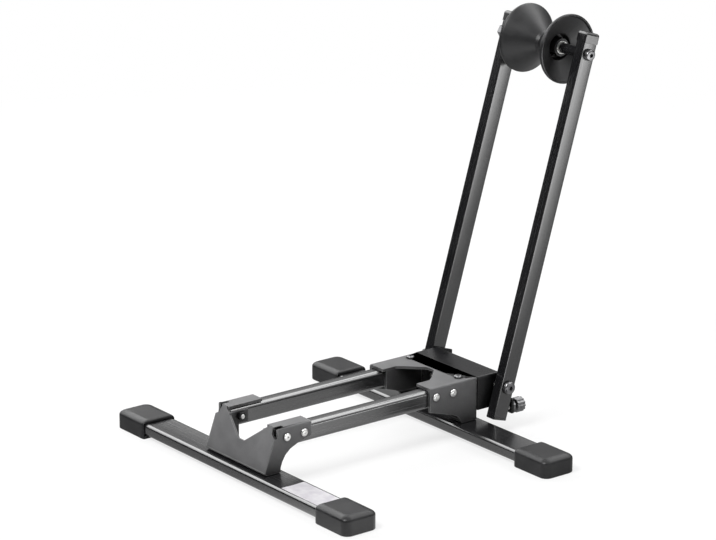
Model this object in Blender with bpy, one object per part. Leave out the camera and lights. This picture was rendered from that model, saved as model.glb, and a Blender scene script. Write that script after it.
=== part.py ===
# Storage stand for one bicycle wheel, built as separate pieces.
#
# The stand has two cross bars with moulded feet, two rails that leave a gap for
# the tyre, a front bracket with a notch, a rear saddle and a hinge bracket.
# A pair of uprights turns on the hinge bracket and carries a grooved roller,
# which a torsion spring presses against the back of the tyre.
#
# X runs across the wheel, Y runs back along the rails and Z is up.
# The origin lies on the floor, under the middle of the stand.

import math

import bmesh
import bpy
from mathutils import Matrix, Vector

# Clearances
GAP = 0.0003               # between touching pieces
PLATE = 0.003              # folded steel sheet

# Cross bars and their feet
BAR_OVERALL = 0.400        # over the feet
BAR_WIDTH = 0.037
BAR_HEIGHT = 0.0128
BAR_LIFT = 0.0037          # underside of a bar above the floor
BAR_WALL = 0.0018
BAR_CHAMFER = 0.0016
BAR_SPACING = 0.2565       # front bar to rear bar
FOOT_LENGTH = 0.050
FOOT_WIDTH = 0.0415
FOOT_HEIGHT = 0.0202
FOOT_POCKET = 0.030        # how deep a bar sits in its foot
FOOT_CORNER = 0.008
FOOT_INNER_CORNER = 0.004

# Rails
RAIL_WIDTH = 0.016
RAIL_HEIGHT = 0.020
RAIL_WALL = 0.0016
RAIL_LIFT = 0.0405         # underside of a rail above the floor
RAIL_CHAMFER = 0.0012
TYRE_GAP = 0.0642          # between the rails
RAIL_SETBACK = 0.0102      # rail end behind the front bar's middle

# Front bracket, measured from the middle of the front bar
WEB_FORWARD = 0.010        # foot line of the web in front of the bar's middle
WEB_LEAN = math.radians(20)
WEB_HEIGHT = 0.0495        # along the leaning web
WEB_TOP_HALF = 0.0435      # half width of the web above its bends
WEB_BEND_HEIGHT = 0.0385   # the ears join the web up to here
NOTCH_FLOOR_HALF = 0.0055
NOTCH_FLOOR_HEIGHT = 0.0250
NOTCH_TOP_HALF = 0.0370
EAR_FRONT = 0.0078         # front edge of an ear above its bend
EAR_REACH = 0.050
RELIEF_END = 0.017         # corner relief between flange and ear
RELIEF_INNER = 0.0445
FRONT_FOOT_BACK = 0.0105
CHEEK_REACH = 0.029        # inner cheek behind the bar's middle
FRONT_BOLT_BACK = 0.019
FRONT_SCREW_BACK = 0.0045
FRONT_SCREW_HALF = 0.020
FRONT_RIVET_BACK = 0.041
SIDE_BOLT_HEIGHT = 0.053

# Rear saddle, measured from the middle of the rear bar
SADDLE_FORWARD = 0.0515
SADDLE_WALL_FRONT = 0.0085
SADDLE_PLATE_BACK = 0.0015  # rear edge of the top plate behind the bar's middle
SADDLE_NOTCH_HALF = 0.0285
SADDLE_NOTCH_MOUTH = 0.0170
SADDLE_NOTCH_DEPTH = 0.0420
SADDLE_NOTCH_FLOOR = 0.0060
SADDLE_WALL_BASE = 0.024
SADDLE_WALL_TOP = 0.0568
SADDLE_CHEEK_BASE = 0.0335
REAR_RIVET_FRONT = 0.0435
REAR_RIVET_REAR = 0.0205
SADDLE_SCREW_FORWARD = 0.0050
REAR_FOOT_INNER = 0.030
REAR_SCREW_HALF = 0.040

# Hinge bracket
HINGE_TOP_DEPTH = 0.0285
HINGE_CHEEK_DROP = 0.0225  # lower edge of a cheek below the pivot
HINGE_CHEEK_BACK = 0.0190  # rear edge of a cheek behind the pivot
HINGE_CHEEK_TAIL = 0.0075  # half height of that edge
HINGE_HEEL_DROP = 0.0305   # lower edge of the stop flange below the pivot
HINGE_BOLT_HALF = 0.018
HINGE_BOLT_HEIGHT = 0.047

# Arm
PIVOT_SETBACK = 0.042      # pivot behind the middle of the rear bar
PIVOT_CLEARANCE = 0.0025   # spring coil below the top of the hinge bracket
ARM_LEAN = math.radians(16.7)
ARM_LENGTH = 0.3605        # pivot to roller axle
UPRIGHT_WIDTH = 0.013
UPRIGHT_DEPTH = 0.019
UPRIGHT_WALL = 0.0015
UPRIGHT_CHAMFER = 0.0012
UPRIGHT_SIDE_GAP = 0.0003  # upright to hinge bracket
HINGE_HALF = 0.0528        # outer face of a hinge cheek
UPRIGHT_BELOW = 0.0335     # tube below the pivot
UPRIGHT_ABOVE = 0.0115     # tube above the roller axle
TOP_CAP_HEIGHT = 0.0112
TOP_CAP_LIP = 0.0009
BOTTOM_PLUG_HEIGHT = 0.0024
PLUG_DEPTH = 0.012

# Pivot and axle
BOLT_RADIUS = 0.004
SLEEVE_RADIUS = 0.0058
PIVOT_BUSH_RADIUS = 0.0082
PIVOT_BUSH_FLANGE = 0.0100
PIVOT_BUSH_RIM = 0.0012
PIVOT_HEAD_RADIUS = 0.0072
HEAD_HEIGHT = 0.0048
NUT_RADIUS = 0.0074
NUT_HEIGHT = 0.0065
AXLE_HEAD_RADIUS = 0.0062
SPACER_RADIUS = 0.0054

# Torsion spring on the pivot
WIRE_RADIUS = 0.0011
COIL_RADIUS = 0.0077
COIL_PITCH = 0.0029
COIL_TURNS = 8

# Roller
ROLLER_RADIUS = 0.0373
ROLLER_HALF = 0.0347
ROLLER_RIM = 0.0034
GROOVE_RADIUS = 0.0115
CONE_LIP = 0.0022
DISH_FLOOR = 0.0220        # dish round the hub recess
DISH_RADIUS = 0.0160
RECESS_FLOOR = 0.0120
RECESS_RADIUS = 0.0142
BOSS_RADIUS = 0.0098
HUB_HALF = 0.0250
HUB_RADIUS = 0.0072
HUB_WALL = 0.0010
BUSH_LENGTH = 0.014

# Stop screw behind the right upright
STOP_DROP = 0.0247         # stop screw below the pivot
STOP_SCREW_RADIUS = 0.003
STOP_FLANGE_BACK = 0.0058  # front of the flange behind the pivot
STOP_FLANGE_DROP = 0.0145  # top of the flange below the pivot
STOP_NUT_RADIUS = 0.0062
STOP_NUT_HEIGHT = 0.0040
KNOB_RADIUS = 0.0082
KNOB_LENGTH = 0.0105
KNOB_SPACE = 0.0008        # knob behind the lock nut
KNOB_BORE = 0.006

# Small fasteners
SIDE_BOLT_RADIUS = 0.0025
SIDE_HEAD_RADIUS = 0.0042
SIDE_HEAD_HEIGHT = 0.0017
SIDE_NUT_RADIUS = 0.0046
SIDE_NUT_HEIGHT = 0.0038
RIVET_RADIUS = 0.0024
RIVET_TAIL = 0.0060
SCREW_RADIUS = 0.0024
SCREW_HEAD_RADIUS = 0.0044
SCREW_HEAD_HEIGHT = 0.0024
SCREW_LENGTH = 0.0100
HEX_RECESS = 0.0024

ROUND = 24
FINE = 48

# Derived places
DEPTH = (FOOT_WIDTH / 2 + BAR_SPACING + PIVOT_SETBACK
         + ARM_LENGTH * math.sin(ARM_LEAN) + ROLLER_RADIUS)
FRONT_Y = -DEPTH / 2 + FOOT_WIDTH / 2
REAR_Y = FRONT_Y + BAR_SPACING
PIVOT_Y = REAR_Y + PIVOT_SETBACK
BAR_TOP = BAR_LIFT + BAR_HEIGHT
BAR_HALF = BAR_OVERALL / 2 - FOOT_LENGTH + FOOT_POCKET
RAIL_INNER = TYRE_GAP / 2
RAIL_OUTER = RAIL_INNER + RAIL_WIDTH
RAIL_TOP = RAIL_LIFT + RAIL_HEIGHT
EAR_INNER = RAIL_OUTER + GAP
EAR_OUTER = EAR_INNER + PLATE
CHEEK_OUTER = RAIL_INNER - GAP
CHEEK_INNER = CHEEK_OUTER - PLATE
FLANGE_BASE = RAIL_TOP + GAP
FLANGE_TOP = FLANGE_BASE + PLATE
FOOT_PLATE_BASE = BAR_TOP + GAP
FOOT_PLATE_TOP = FOOT_PLATE_BASE + PLATE
RAIL_FRONT_Y = FRONT_Y + RAIL_SETBACK
SADDLE_WALL_Y = REAR_Y + SADDLE_WALL_FRONT
SADDLE_BACK_Y = SADDLE_WALL_Y + PLATE
RAIL_BACK_Y = SADDLE_WALL_Y - GAP
HINGE_FRONT_Y = SADDLE_BACK_Y + GAP
HINGE_INNER = HINGE_HALF - PLATE
UPRIGHT_INNER = HINGE_HALF + UPRIGHT_SIDE_GAP
UPRIGHT_X = UPRIGHT_INNER + UPRIGHT_WIDTH / 2
UPRIGHT_OUTER = UPRIGHT_INNER + UPRIGHT_WIDTH
PIVOT_HEIGHT = FLANGE_BASE - COIL_RADIUS - WIRE_RADIUS - PIVOT_CLEARANCE
HINGE_CHEEK_BASE = PIVOT_HEIGHT - HINGE_CHEEK_DROP
HINGE_HEEL_BASE = PIVOT_HEIGHT - HINGE_HEEL_DROP
STOP_HEIGHT = PIVOT_HEIGHT - STOP_DROP
STOP_FLANGE_TOP = PIVOT_HEIGHT - STOP_FLANGE_DROP
STOP_FLANGE_Y = PIVOT_Y + STOP_FLANGE_BACK
STOP_NUT_Y = STOP_FLANGE_Y + PLATE + GAP
KNOB_Y = STOP_NUT_Y + STOP_NUT_HEIGHT + KNOB_SPACE
SIDES = (("left", -1), ("right", 1))


def clear_scene():
    for item in list(bpy.data.objects):
        bpy.data.objects.remove(item, do_unlink=True)


def material(name, colour, roughness, metallic):
    made = bpy.data.materials.new(name)
    made.use_nodes = True
    shader = made.node_tree.nodes["Principled BSDF"]
    shader.inputs["Base Color"].default_value = (*colour, 1.0)
    shader.inputs["Roughness"].default_value = roughness
    shader.inputs["Metallic"].default_value = metallic
    made.diffuse_color = (*colour, 1.0)
    return made


def to_object(name, bm, look):
    bmesh.ops.recalc_face_normals(bm, faces=bm.faces)
    mesh = bpy.data.meshes.new(name)
    bm.to_mesh(mesh)
    bm.free()
    piece = bpy.data.objects.new(name, mesh)
    bpy.context.scene.collection.objects.link(piece)
    if look:
        mesh.materials.append(look)
    return piece


def place(u, v, along, axis):
    """A point of a profile drawn across one axis."""
    if axis == "X":
        return (along, u, v)
    if axis == "Y":
        return (u, along, v)
    return (u, v, along)


def prism(name, profile, axis, start, end, look=None):
    """A flat profile extruded along one axis."""
    bm = bmesh.new()
    ring = [bm.verts.new(place(u, v, start, axis)) for u, v in profile]
    face = bm.faces.new(ring)
    grown = bmesh.ops.extrude_face_region(bm, geom=[face])
    moved = [item for item in grown["geom"] if isinstance(item, bmesh.types.BMVert)]
    bmesh.ops.translate(bm, verts=moved, vec=place(0.0, 0.0, end - start, axis))
    return to_object(name, bm, look)


def block(name, xs, ys, zs, look=None):
    """A box between two values on each axis."""
    low = (min(xs), min(ys))
    high = (max(xs), max(ys))
    corners = [low, (high[0], low[1]), high, (low[0], high[1])]
    return prism(name, corners, "Z", min(zs), max(zs), look)


def turned(name, profile, axis, centre, look=None, steps=ROUND, ring=False):
    """A profile of (place along the axis, radius) spun round that axis."""
    bm = bmesh.new()
    direction = Vector(place(0.0, 0.0, 1.0, axis))
    out = Vector((0.0, 0.0, 1.0)) if axis != "Z" else Vector((1.0, 0.0, 0.0))
    verts = [bm.verts.new(direction * along + out * radius) for along, radius in profile]
    pairs = list(zip(verts, verts[1:]))
    if ring:
        pairs.append((verts[-1], verts[0]))
    for first, second in pairs:
        bm.edges.new((first, second))
    bmesh.ops.spin(
        bm, geom=bm.verts[:] + bm.edges[:], cent=(0.0, 0.0, 0.0), axis=direction,
        angle=2 * math.pi, steps=steps, use_duplicate=False)
    bmesh.ops.remove_doubles(bm, verts=bm.verts, dist=1e-6)
    bmesh.ops.translate(bm, verts=bm.verts, vec=centre)
    return to_object(name, bm, look)


def swept(name, points, radius, look, sides=6):
    """A round wire along a chain of points, closed at both ends."""
    bm = bmesh.new()
    rings = []
    normal = None
    for k, point in enumerate(points):
        before = points[max(k - 1, 0)]
        after = points[min(k + 1, len(points) - 1)]
        tangent = (after - before).normalized()
        if normal is None:
            normal = tangent.orthogonal().normalized()
        normal = (normal - tangent * normal.dot(tangent)).normalized()
        other = tangent.cross(normal)
        ring = []
        for n in range(sides):
            angle = 2 * math.pi * n / sides
            offset = normal * math.cos(angle) + other * math.sin(angle)
            ring.append(bm.verts.new(point + offset * radius))
        rings.append(ring)
    for low, high in zip(rings, rings[1:]):
        for k in range(sides):
            n = (k + 1) % sides
            bm.faces.new((low[k], low[n], high[n], high[k]))
    bm.faces.new(rings[0])
    bm.faces.new(rings[-1])
    return to_object(name, bm, look)


def rod(name, radius, axis, start, end, centre, steps=ROUND):
    """A plain round cutter."""
    return turned(name, [(start, 0.0), (start, radius), (end, radius), (end, 0.0)],
                  axis, centre, None, steps)


def guide(piece):
    piece.hide_render = True
    piece.hide_set(True)
    piece.display_type = "WIRE"


def combine(piece, other, operation):
    made = piece.modifiers.new(operation.lower(), "BOOLEAN")
    made.operation = operation
    made.solver = "EXACT"
    made.object = other
    guide(other)


def cut(piece, *others):
    for other in others:
        combine(piece, other, "DIFFERENCE")


def add(piece, *others):
    for other in others:
        combine(piece, other, "UNION")


def smooth(piece, degrees=35):
    piece.data.shade_smooth()
    piece.data.set_sharp_from_angle(angle=math.radians(degrees))


def chamfered(half_u, half_v, chamfer, centre_u=0.0, centre_v=0.0):
    """A rectangle with its four corners cut."""
    points = []
    for su, sv, first in ((1, 1, "u"), (-1, 1, "v"), (-1, -1, "u"), (1, -1, "v")):
        near_u = (su * half_u, sv * (half_v - chamfer))
        near_v = (su * (half_u - chamfer), sv * half_v)
        points += [near_u, near_v] if first == "u" else [near_v, near_u]
    return [(centre_u + u, centre_v + v) for u, v in points]


def hexagon(radius, turn=0.0):
    return [(radius * math.cos(turn + math.radians(60 * k)),
             radius * math.sin(turn + math.radians(60 * k))) for k in range(6)]


def arc(centre_u, centre_v, radius, start, end, count):
    points = []
    for k in range(count + 1):
        angle = math.radians(start + (end - start) * k / count)
        points.append((centre_u + radius * math.cos(angle),
                       centre_v + radius * math.sin(angle)))
    return points


def hex_nut(name, radius, height, bore, axis, start, centre, look):
    """A hexagonal nut with a round bore, its near face at start."""
    piece = prism(name, hexagon(radius), axis, start, start + height, look)
    piece.data.transform(Matrix.Translation(centre))
    cut(piece, rod(name + "_bore", bore, axis, start - height, start + 2 * height, centre))
    return piece


def screw_profile(base, sign, shank, length, head, height):
    """A shank that goes back from base, and a domed head on the other side."""
    return [
        (base - sign * length, 0.0),
        (base - sign * length, shank),
        (base + sign * GAP, shank),
        (base + sign * GAP, head),
        (base + sign * (GAP + 0.45 * height), head),
        (base + sign * (GAP + 0.85 * height), 0.78 * head),
        (base + sign * (GAP + height), 0.45 * head),
        (base + sign * (GAP + height), 0.0),
    ]


# Cross bars
def bar_profile(grow):
    return chamfered(BAR_WIDTH / 2 + grow, BAR_HEIGHT / 2 + grow,
                     BAR_CHAMFER, 0.0, BAR_LIFT + BAR_HEIGHT / 2)


def shifted(profile, y):
    return [(u + y, v) for u, v in profile]


def cross_bar(name, y, look, screw_x, screw_y):
    bar = prism(name, shifted(bar_profile(0.0), y), "X", -BAR_HALF, BAR_HALF, look)
    hollow = shifted(
        chamfered(BAR_WIDTH / 2 - BAR_WALL, BAR_HEIGHT / 2 - BAR_WALL, BAR_CHAMFER / 2,
                  0.0, BAR_LIFT + BAR_HEIGHT / 2), y)
    cut(bar, prism(name + "_hollow", hollow, "X", -BAR_OVERALL, BAR_OVERALL))
    for side, sign in SIDES:
        cut(bar, rod(name + "_hole_" + side, SCREW_RADIUS + GAP, "Z",
                     BAR_TOP - 2 * BAR_WALL, BAR_TOP + BAR_WALL,
                     (sign * screw_x, screw_y, 0.0), 16))
    return bar


def foot_outline(inset, sign):
    """Plan of a foot: small corners where the bar goes in, larger at the free end."""
    inner = BAR_OVERALL / 2 - FOOT_LENGTH + inset * 0.5
    outer = BAR_OVERALL / 2 - inset
    half = FOOT_WIDTH / 2 - inset
    small = FOOT_INNER_CORNER
    corner = FOOT_CORNER - inset * 0.5
    points = arc(inner + small, half - small, small, 90, 180, 4)
    points += arc(inner + small, -half + small, small, 180, 270, 4)
    points += arc(outer - corner, -half + corner, corner, -90, 0, 5)
    points += arc(outer - corner, half - corner, corner, 0, 90, 5)
    return [(sign * x, y) for x, y in points]


def foot(name, sign, y, look):
    """A moulded foot with a crowned top, closed round the end of a bar."""
    layers = (
        (0.0, 0.0012),
        (0.0010, 0.0),
        (0.74 * FOOT_HEIGHT, 0.0),
        (0.87 * FOOT_HEIGHT, 0.0009),
        (0.95 * FOOT_HEIGHT, 0.0034),
        (FOOT_HEIGHT, 0.0085),
    )
    bm = bmesh.new()
    rings = []
    for z, inset in layers:
        points = foot_outline(inset, sign)
        rings.append([bm.verts.new((px, y + py, z)) for px, py in points])
    for low, high in zip(rings, rings[1:]):
        for k in range(len(low)):
            n = (k + 1) % len(low)
            bm.faces.new((low[k], low[n], high[n], high[k]))
    bm.faces.new(rings[0])
    bm.faces.new(rings[-1])
    piece = to_object(name, bm, look)
    inner = sign * (BAR_OVERALL / 2 - FOOT_LENGTH)
    end = sign * (BAR_HALF + GAP)
    pocket = shifted(bar_profile(GAP), y)
    cut(piece, prism(name + "_pocket", pocket, "X", min(inner - sign * 0.01, end),
                     max(inner - sign * 0.01, end)))
    smooth(piece)
    return piece


# Rails
def rail(name, sign, look):
    centre = (sign * (RAIL_INNER + RAIL_WIDTH / 2), RAIL_LIFT + RAIL_HEIGHT / 2)
    outside = chamfered(RAIL_WIDTH / 2, RAIL_HEIGHT / 2, RAIL_CHAMFER, *centre)
    inside = chamfered(RAIL_WIDTH / 2 - RAIL_WALL, RAIL_HEIGHT / 2 - RAIL_WALL,
                       RAIL_CHAMFER / 2, *centre)
    piece = prism(name, outside, "Y", RAIL_FRONT_Y, RAIL_BACK_Y, look)
    cut(piece, prism(name + "_hollow", inside, "Y", RAIL_FRONT_Y - 0.01, RAIL_BACK_Y + 0.01))
    across = sorted((sign * (RAIL_INNER - 0.01), sign * (RAIL_OUTER + 0.01)))
    cut(piece, rod(name + "_bolt_hole", SIDE_BOLT_RADIUS + GAP, "X", across[0], across[1],
                   (0.0, FRONT_Y + FRONT_BOLT_BACK, SIDE_BOLT_HEIGHT), 16))
    outer = sorted((sign * (RAIL_OUTER - 2 * RAIL_WALL), sign * (RAIL_OUTER + 0.01)))
    for tag, y in (("front", FRONT_Y + FRONT_RIVET_BACK),
                   ("middle", REAR_Y - REAR_RIVET_FRONT),
                   ("rear", REAR_Y - REAR_RIVET_REAR)):
        cut(piece, rod(name + "_rivet_hole_" + tag, RIVET_RADIUS + GAP, "X",
                       outer[0], outer[1], (0.0, y, SIDE_BOLT_HEIGHT), 16))
    cut(piece, rod(name + "_screw_hole", SCREW_RADIUS + GAP, "Z",
                   RAIL_TOP - 2 * RAIL_WALL, RAIL_TOP + 0.01,
                   (sign * (RAIL_INNER + RAIL_WIDTH / 2), REAR_Y - SADDLE_SCREW_FORWARD, 0.0),
                   16))
    return piece


# Front bracket
def web_line(height):
    """Y of the front face of the leaning web at a height above the floor."""
    return FRONT_Y - WEB_FORWARD + (height - FOOT_PLATE_BASE) * math.tan(WEB_LEAN)


def front_bracket(look):
    half = [
        (NOTCH_FLOOR_HALF, NOTCH_FLOOR_HEIGHT),
        (NOTCH_TOP_HALF, WEB_HEIGHT),
        (WEB_TOP_HALF, WEB_HEIGHT),
        (WEB_TOP_HALF + 0.0015, WEB_BEND_HEIGHT + 0.004),
        (EAR_OUTER - 0.0008, WEB_BEND_HEIGHT),
        (EAR_OUTER - 0.0008, PLATE * math.tan(WEB_LEAN)),
    ]
    outline = half + [(-x, s) for x, s in reversed(half)]
    bracket = prism("front_bracket", outline, "Y", 0.0, PLATE, look)
    bracket.data.transform(
        Matrix.Translation((0.0, FRONT_Y - WEB_FORWARD, FOOT_PLATE_BASE))
        @ Matrix.Rotation(-WEB_LEAN, 4, "X"))
    foot_plate = block("front_bracket_foot", (-EAR_OUTER, EAR_OUTER),
                       (FRONT_Y - WEB_FORWARD + 0.0006, FRONT_Y + FRONT_FOOT_BACK),
                       (FOOT_PLATE_BASE, FOOT_PLATE_TOP))
    add(bracket, foot_plate)
    bend_top = FOOT_PLATE_BASE + WEB_BEND_HEIGHT * math.cos(WEB_LEAN)
    back = FRONT_Y + EAR_REACH
    ear = [
        (FRONT_Y - WEB_FORWARD + 0.0006, FOOT_PLATE_BASE),
        (FRONT_Y + FRONT_FOOT_BACK, FOOT_PLATE_BASE),
        (FRONT_Y + FRONT_FOOT_BACK + 0.0005, FOOT_PLATE_BASE + 0.0050),
        (FRONT_Y + FRONT_FOOT_BACK + 0.0026, FOOT_PLATE_BASE + 0.0110),
        (FRONT_Y + FRONT_FOOT_BACK + 0.0064, FOOT_PLATE_BASE + 0.0172),
        (FRONT_Y + FRONT_FOOT_BACK + 0.0125, FOOT_PLATE_BASE + 0.0226),
        (FRONT_Y + FRONT_FOOT_BACK + 0.0215, FOOT_PLATE_BASE + 0.0266),
        (FRONT_Y + FRONT_FOOT_BACK + 0.0320, FOOT_PLATE_BASE + 0.0295),
        (back, FOOT_PLATE_BASE + 0.0312),
        (back, FLANGE_TOP),
        (FRONT_Y + EAR_FRONT, FLANGE_TOP),
        (FRONT_Y + EAR_FRONT, bend_top + 0.0035),
        (web_line(bend_top) + 0.0040, bend_top),
        (web_line(bend_top) + 0.0006, bend_top),
    ]
    for side, sign in SIDES:
        xs = sorted((sign * EAR_INNER, sign * EAR_OUTER))
        add(bracket, prism("front_bracket_ear_" + side, ear, "X", xs[0], xs[1]))
        add(bracket, block("front_bracket_flange_" + side,
                           (sign * (RAIL_INNER + 0.001), sign * EAR_OUTER),
                           (FRONT_Y + RELIEF_END, back), (FLANGE_BASE, FLANGE_TOP)))
        add(bracket, block("front_bracket_tongue_" + side,
                           (sign * (RAIL_INNER + 0.001), sign * RELIEF_INNER),
                           (FRONT_Y + EAR_FRONT, FRONT_Y + RELIEF_END + 0.001),
                           (FLANGE_BASE, FLANGE_TOP)))
        cheek = [
            (web_line(0.027) + 0.0018, 0.027),
            (FRONT_Y + 0.017, 0.027),
            (FRONT_Y + 0.017, SIDE_BOLT_HEIGHT - 0.008),
            (FRONT_Y + CHEEK_REACH, SIDE_BOLT_HEIGHT - 0.008),
            (FRONT_Y + CHEEK_REACH, SIDE_BOLT_HEIGHT + 0.0055),
            (web_line(SIDE_BOLT_HEIGHT) + 0.0026, SIDE_BOLT_HEIGHT + 0.0055),
            (web_line(SIDE_BOLT_HEIGHT) + 0.0018, SIDE_BOLT_HEIGHT),
        ]
        xs = sorted((sign * CHEEK_INNER, sign * CHEEK_OUTER))
        add(bracket, prism("front_bracket_cheek_" + side, cheek, "X", xs[0], xs[1]))
    for side, sign in SIDES:
        cut(bracket, rod("front_bracket_bolt_hole_" + side, SIDE_BOLT_RADIUS + GAP, "X",
                         sign * (CHEEK_INNER + EAR_OUTER) / 2 - 0.02,
                         sign * (CHEEK_INNER + EAR_OUTER) / 2 + 0.02,
                         (0.0, FRONT_Y + FRONT_BOLT_BACK, SIDE_BOLT_HEIGHT), 16))
        cut(bracket, rod("front_bracket_rivet_hole_" + side, RIVET_RADIUS + GAP, "X",
                         sign * EAR_OUTER - 0.006, sign * EAR_OUTER + 0.006,
                         (0.0, FRONT_Y + FRONT_RIVET_BACK, SIDE_BOLT_HEIGHT), 16))
        cut(bracket, rod("front_bracket_screw_hole_" + side, SCREW_RADIUS + GAP, "Z",
                         FOOT_PLATE_BASE - 0.005, FOOT_PLATE_TOP + 0.005,
                         (sign * FRONT_SCREW_HALF, FRONT_Y + FRONT_SCREW_BACK, 0.0), 16))
    return bracket


# Rear saddle
def rear_saddle(look):
    front = REAR_Y - SADDLE_FORWARD
    half = [
        (SADDLE_NOTCH_HALF, front - 0.01),
        (SADDLE_NOTCH_HALF, front + SADDLE_NOTCH_MOUTH),
        (SADDLE_NOTCH_HALF - 0.0045, front + SADDLE_NOTCH_MOUTH + 0.0065),
        (SADDLE_NOTCH_FLOOR + 0.0015, front + SADDLE_NOTCH_DEPTH - 0.0018),
        (SADDLE_NOTCH_FLOOR - 0.0015, front + SADDLE_NOTCH_DEPTH),
    ]
    notch = half + [(-x, y) for x, y in reversed(half)]
    saddle = block("rear_saddle", (-EAR_OUTER, EAR_OUTER),
                   (front, REAR_Y + SADDLE_PLATE_BACK), (FLANGE_BASE, FLANGE_TOP), look)
    cut(saddle, prism("rear_saddle_notch", notch, "Z", FLANGE_BASE - 0.01, FLANGE_TOP + 0.01))
    add(saddle, block("rear_saddle_wall", (-EAR_OUTER, EAR_OUTER),
                      (SADDLE_WALL_Y, SADDLE_BACK_Y), (SADDLE_WALL_BASE, SADDLE_WALL_TOP)))
    ear = [
        (front, RAIL_LIFT - 0.003),
        (REAR_Y - 0.0215, FOOT_PLATE_BASE + 0.0118),
        (REAR_Y - 0.0130, FOOT_PLATE_BASE + 0.0080),
        (REAR_Y - 0.0085, FOOT_PLATE_BASE),
        (SADDLE_BACK_Y, FOOT_PLATE_BASE),
        (SADDLE_BACK_Y, FLANGE_TOP),
        (front, FLANGE_TOP),
    ]
    cheek = [
        (front + 0.0050, RAIL_LIFT),
        (front + 0.0260, SADDLE_CHEEK_BASE),
        (REAR_Y + SADDLE_PLATE_BACK, SADDLE_CHEEK_BASE),
        (REAR_Y + SADDLE_PLATE_BACK, FLANGE_TOP - 0.0010),
        (front + 0.0050, FLANGE_TOP - 0.0010),
    ]
    for side, sign in SIDES:
        xs = sorted((sign * EAR_INNER, sign * EAR_OUTER))
        add(saddle, prism("rear_saddle_ear_" + side, ear, "X", xs[0], xs[1]))
        xs = sorted((sign * CHEEK_INNER, sign * CHEEK_OUTER))
        add(saddle, prism("rear_saddle_cheek_" + side, cheek, "X", xs[0], xs[1]))
        add(saddle, block("rear_saddle_foot_" + side,
                          (sign * REAR_FOOT_INNER, sign * EAR_OUTER),
                          (REAR_Y - 0.0085, SADDLE_BACK_Y), (FOOT_PLATE_BASE, FOOT_PLATE_TOP)))
    for side, sign in SIDES:
        for tag, forward in (("front", REAR_RIVET_FRONT), ("rear", REAR_RIVET_REAR)):
            cut(saddle, rod("rear_saddle_rivet_hole_" + side + tag, RIVET_RADIUS + GAP, "X",
                            sign * EAR_OUTER - 0.006, sign * EAR_OUTER + 0.006,
                            (0.0, REAR_Y - forward, SIDE_BOLT_HEIGHT), 16))
        cut(saddle, rod("rear_saddle_top_hole_" + side, SCREW_RADIUS + GAP, "Z",
                        FLANGE_BASE - 0.005, FLANGE_TOP + 0.005,
                        (sign * (RAIL_INNER + RAIL_WIDTH / 2),
                         REAR_Y - SADDLE_SCREW_FORWARD, 0.0), 16))
        cut(saddle, rod("rear_saddle_foot_hole_" + side, SCREW_RADIUS + GAP, "Z",
                        FOOT_PLATE_BASE - 0.005, FOOT_PLATE_TOP + 0.005,
                        (sign * REAR_SCREW_HALF, REAR_Y, 0.0), 16))
        cut(saddle, rod("rear_saddle_wall_hole_" + side, SIDE_BOLT_RADIUS + GAP, "Y",
                        SADDLE_WALL_Y - 0.005, SADDLE_BACK_Y + 0.005,
                        (sign * HINGE_BOLT_HALF, 0.0, HINGE_BOLT_HEIGHT), 16))
    return saddle


# Hinge bracket
def hinge_bracket(look):
    bracket = block("hinge_bracket", (-HINGE_HALF, HINGE_HALF),
                    (HINGE_FRONT_Y, HINGE_FRONT_Y + HINGE_TOP_DEPTH),
                    (FLANGE_BASE, FLANGE_TOP), look)
    add(bracket, block("hinge_bracket_wall", (-HINGE_HALF, HINGE_HALF),
                       (HINGE_FRONT_Y, HINGE_FRONT_Y + PLATE), (HINGE_CHEEK_BASE, FLANGE_TOP)))
    back = STOP_FLANGE_Y + PLATE
    top_back = HINGE_FRONT_Y + HINGE_TOP_DEPTH
    cheek = [
        (HINGE_FRONT_Y, HINGE_CHEEK_BASE),
        (PIVOT_Y - 0.003, HINGE_CHEEK_BASE),
        (PIVOT_Y + 0.001, HINGE_HEEL_BASE),
        (back, HINGE_HEEL_BASE),
        (back, STOP_FLANGE_TOP),
        (PIVOT_Y + HINGE_CHEEK_BACK, PIVOT_HEIGHT - HINGE_CHEEK_TAIL),
        (PIVOT_Y + HINGE_CHEEK_BACK, PIVOT_HEIGHT + HINGE_CHEEK_TAIL),
        (top_back, FLANGE_TOP),
        (HINGE_FRONT_Y, FLANGE_TOP),
    ]
    for side, sign in SIDES:
        xs = sorted((sign * HINGE_INNER, sign * HINGE_HALF))
        add(bracket, prism("hinge_bracket_cheek_" + side, cheek, "X", xs[0], xs[1]))
    add(bracket, block("hinge_bracket_stop_flange", (HINGE_INNER, UPRIGHT_OUTER),
                       (STOP_FLANGE_Y, back), (HINGE_HEEL_BASE, STOP_FLANGE_TOP)))
    cut(bracket, rod("hinge_bracket_stop_hole", STOP_SCREW_RADIUS + GAP, "Y",
                     STOP_FLANGE_Y - 0.005, back + 0.005, (UPRIGHT_X, 0.0, STOP_HEIGHT)))
    for side, sign in SIDES:
        cut(bracket, rod("hinge_bracket_pivot_hole_" + side, PIVOT_BUSH_RADIUS + GAP, "X",
                         sign * HINGE_HALF - 0.008, sign * HINGE_HALF + 0.008,
                         (0.0, PIVOT_Y, PIVOT_HEIGHT)))
        cut(bracket, rod("hinge_bracket_bolt_hole_" + side, SIDE_BOLT_RADIUS + GAP, "Y",
                         HINGE_FRONT_Y - 0.005, HINGE_FRONT_Y + PLATE + 0.005,
                         (sign * HINGE_BOLT_HALF, 0.0, HINGE_BOLT_HEIGHT), 16))
    return bracket


# Fasteners of the base
def screw(name, axis, base, sign, centre, look, shank, length, head, height):
    piece = turned(name, screw_profile(base, sign, shank, length, head, height),
                   axis, centre, look, 16)
    smooth(piece)
    return piece


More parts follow.
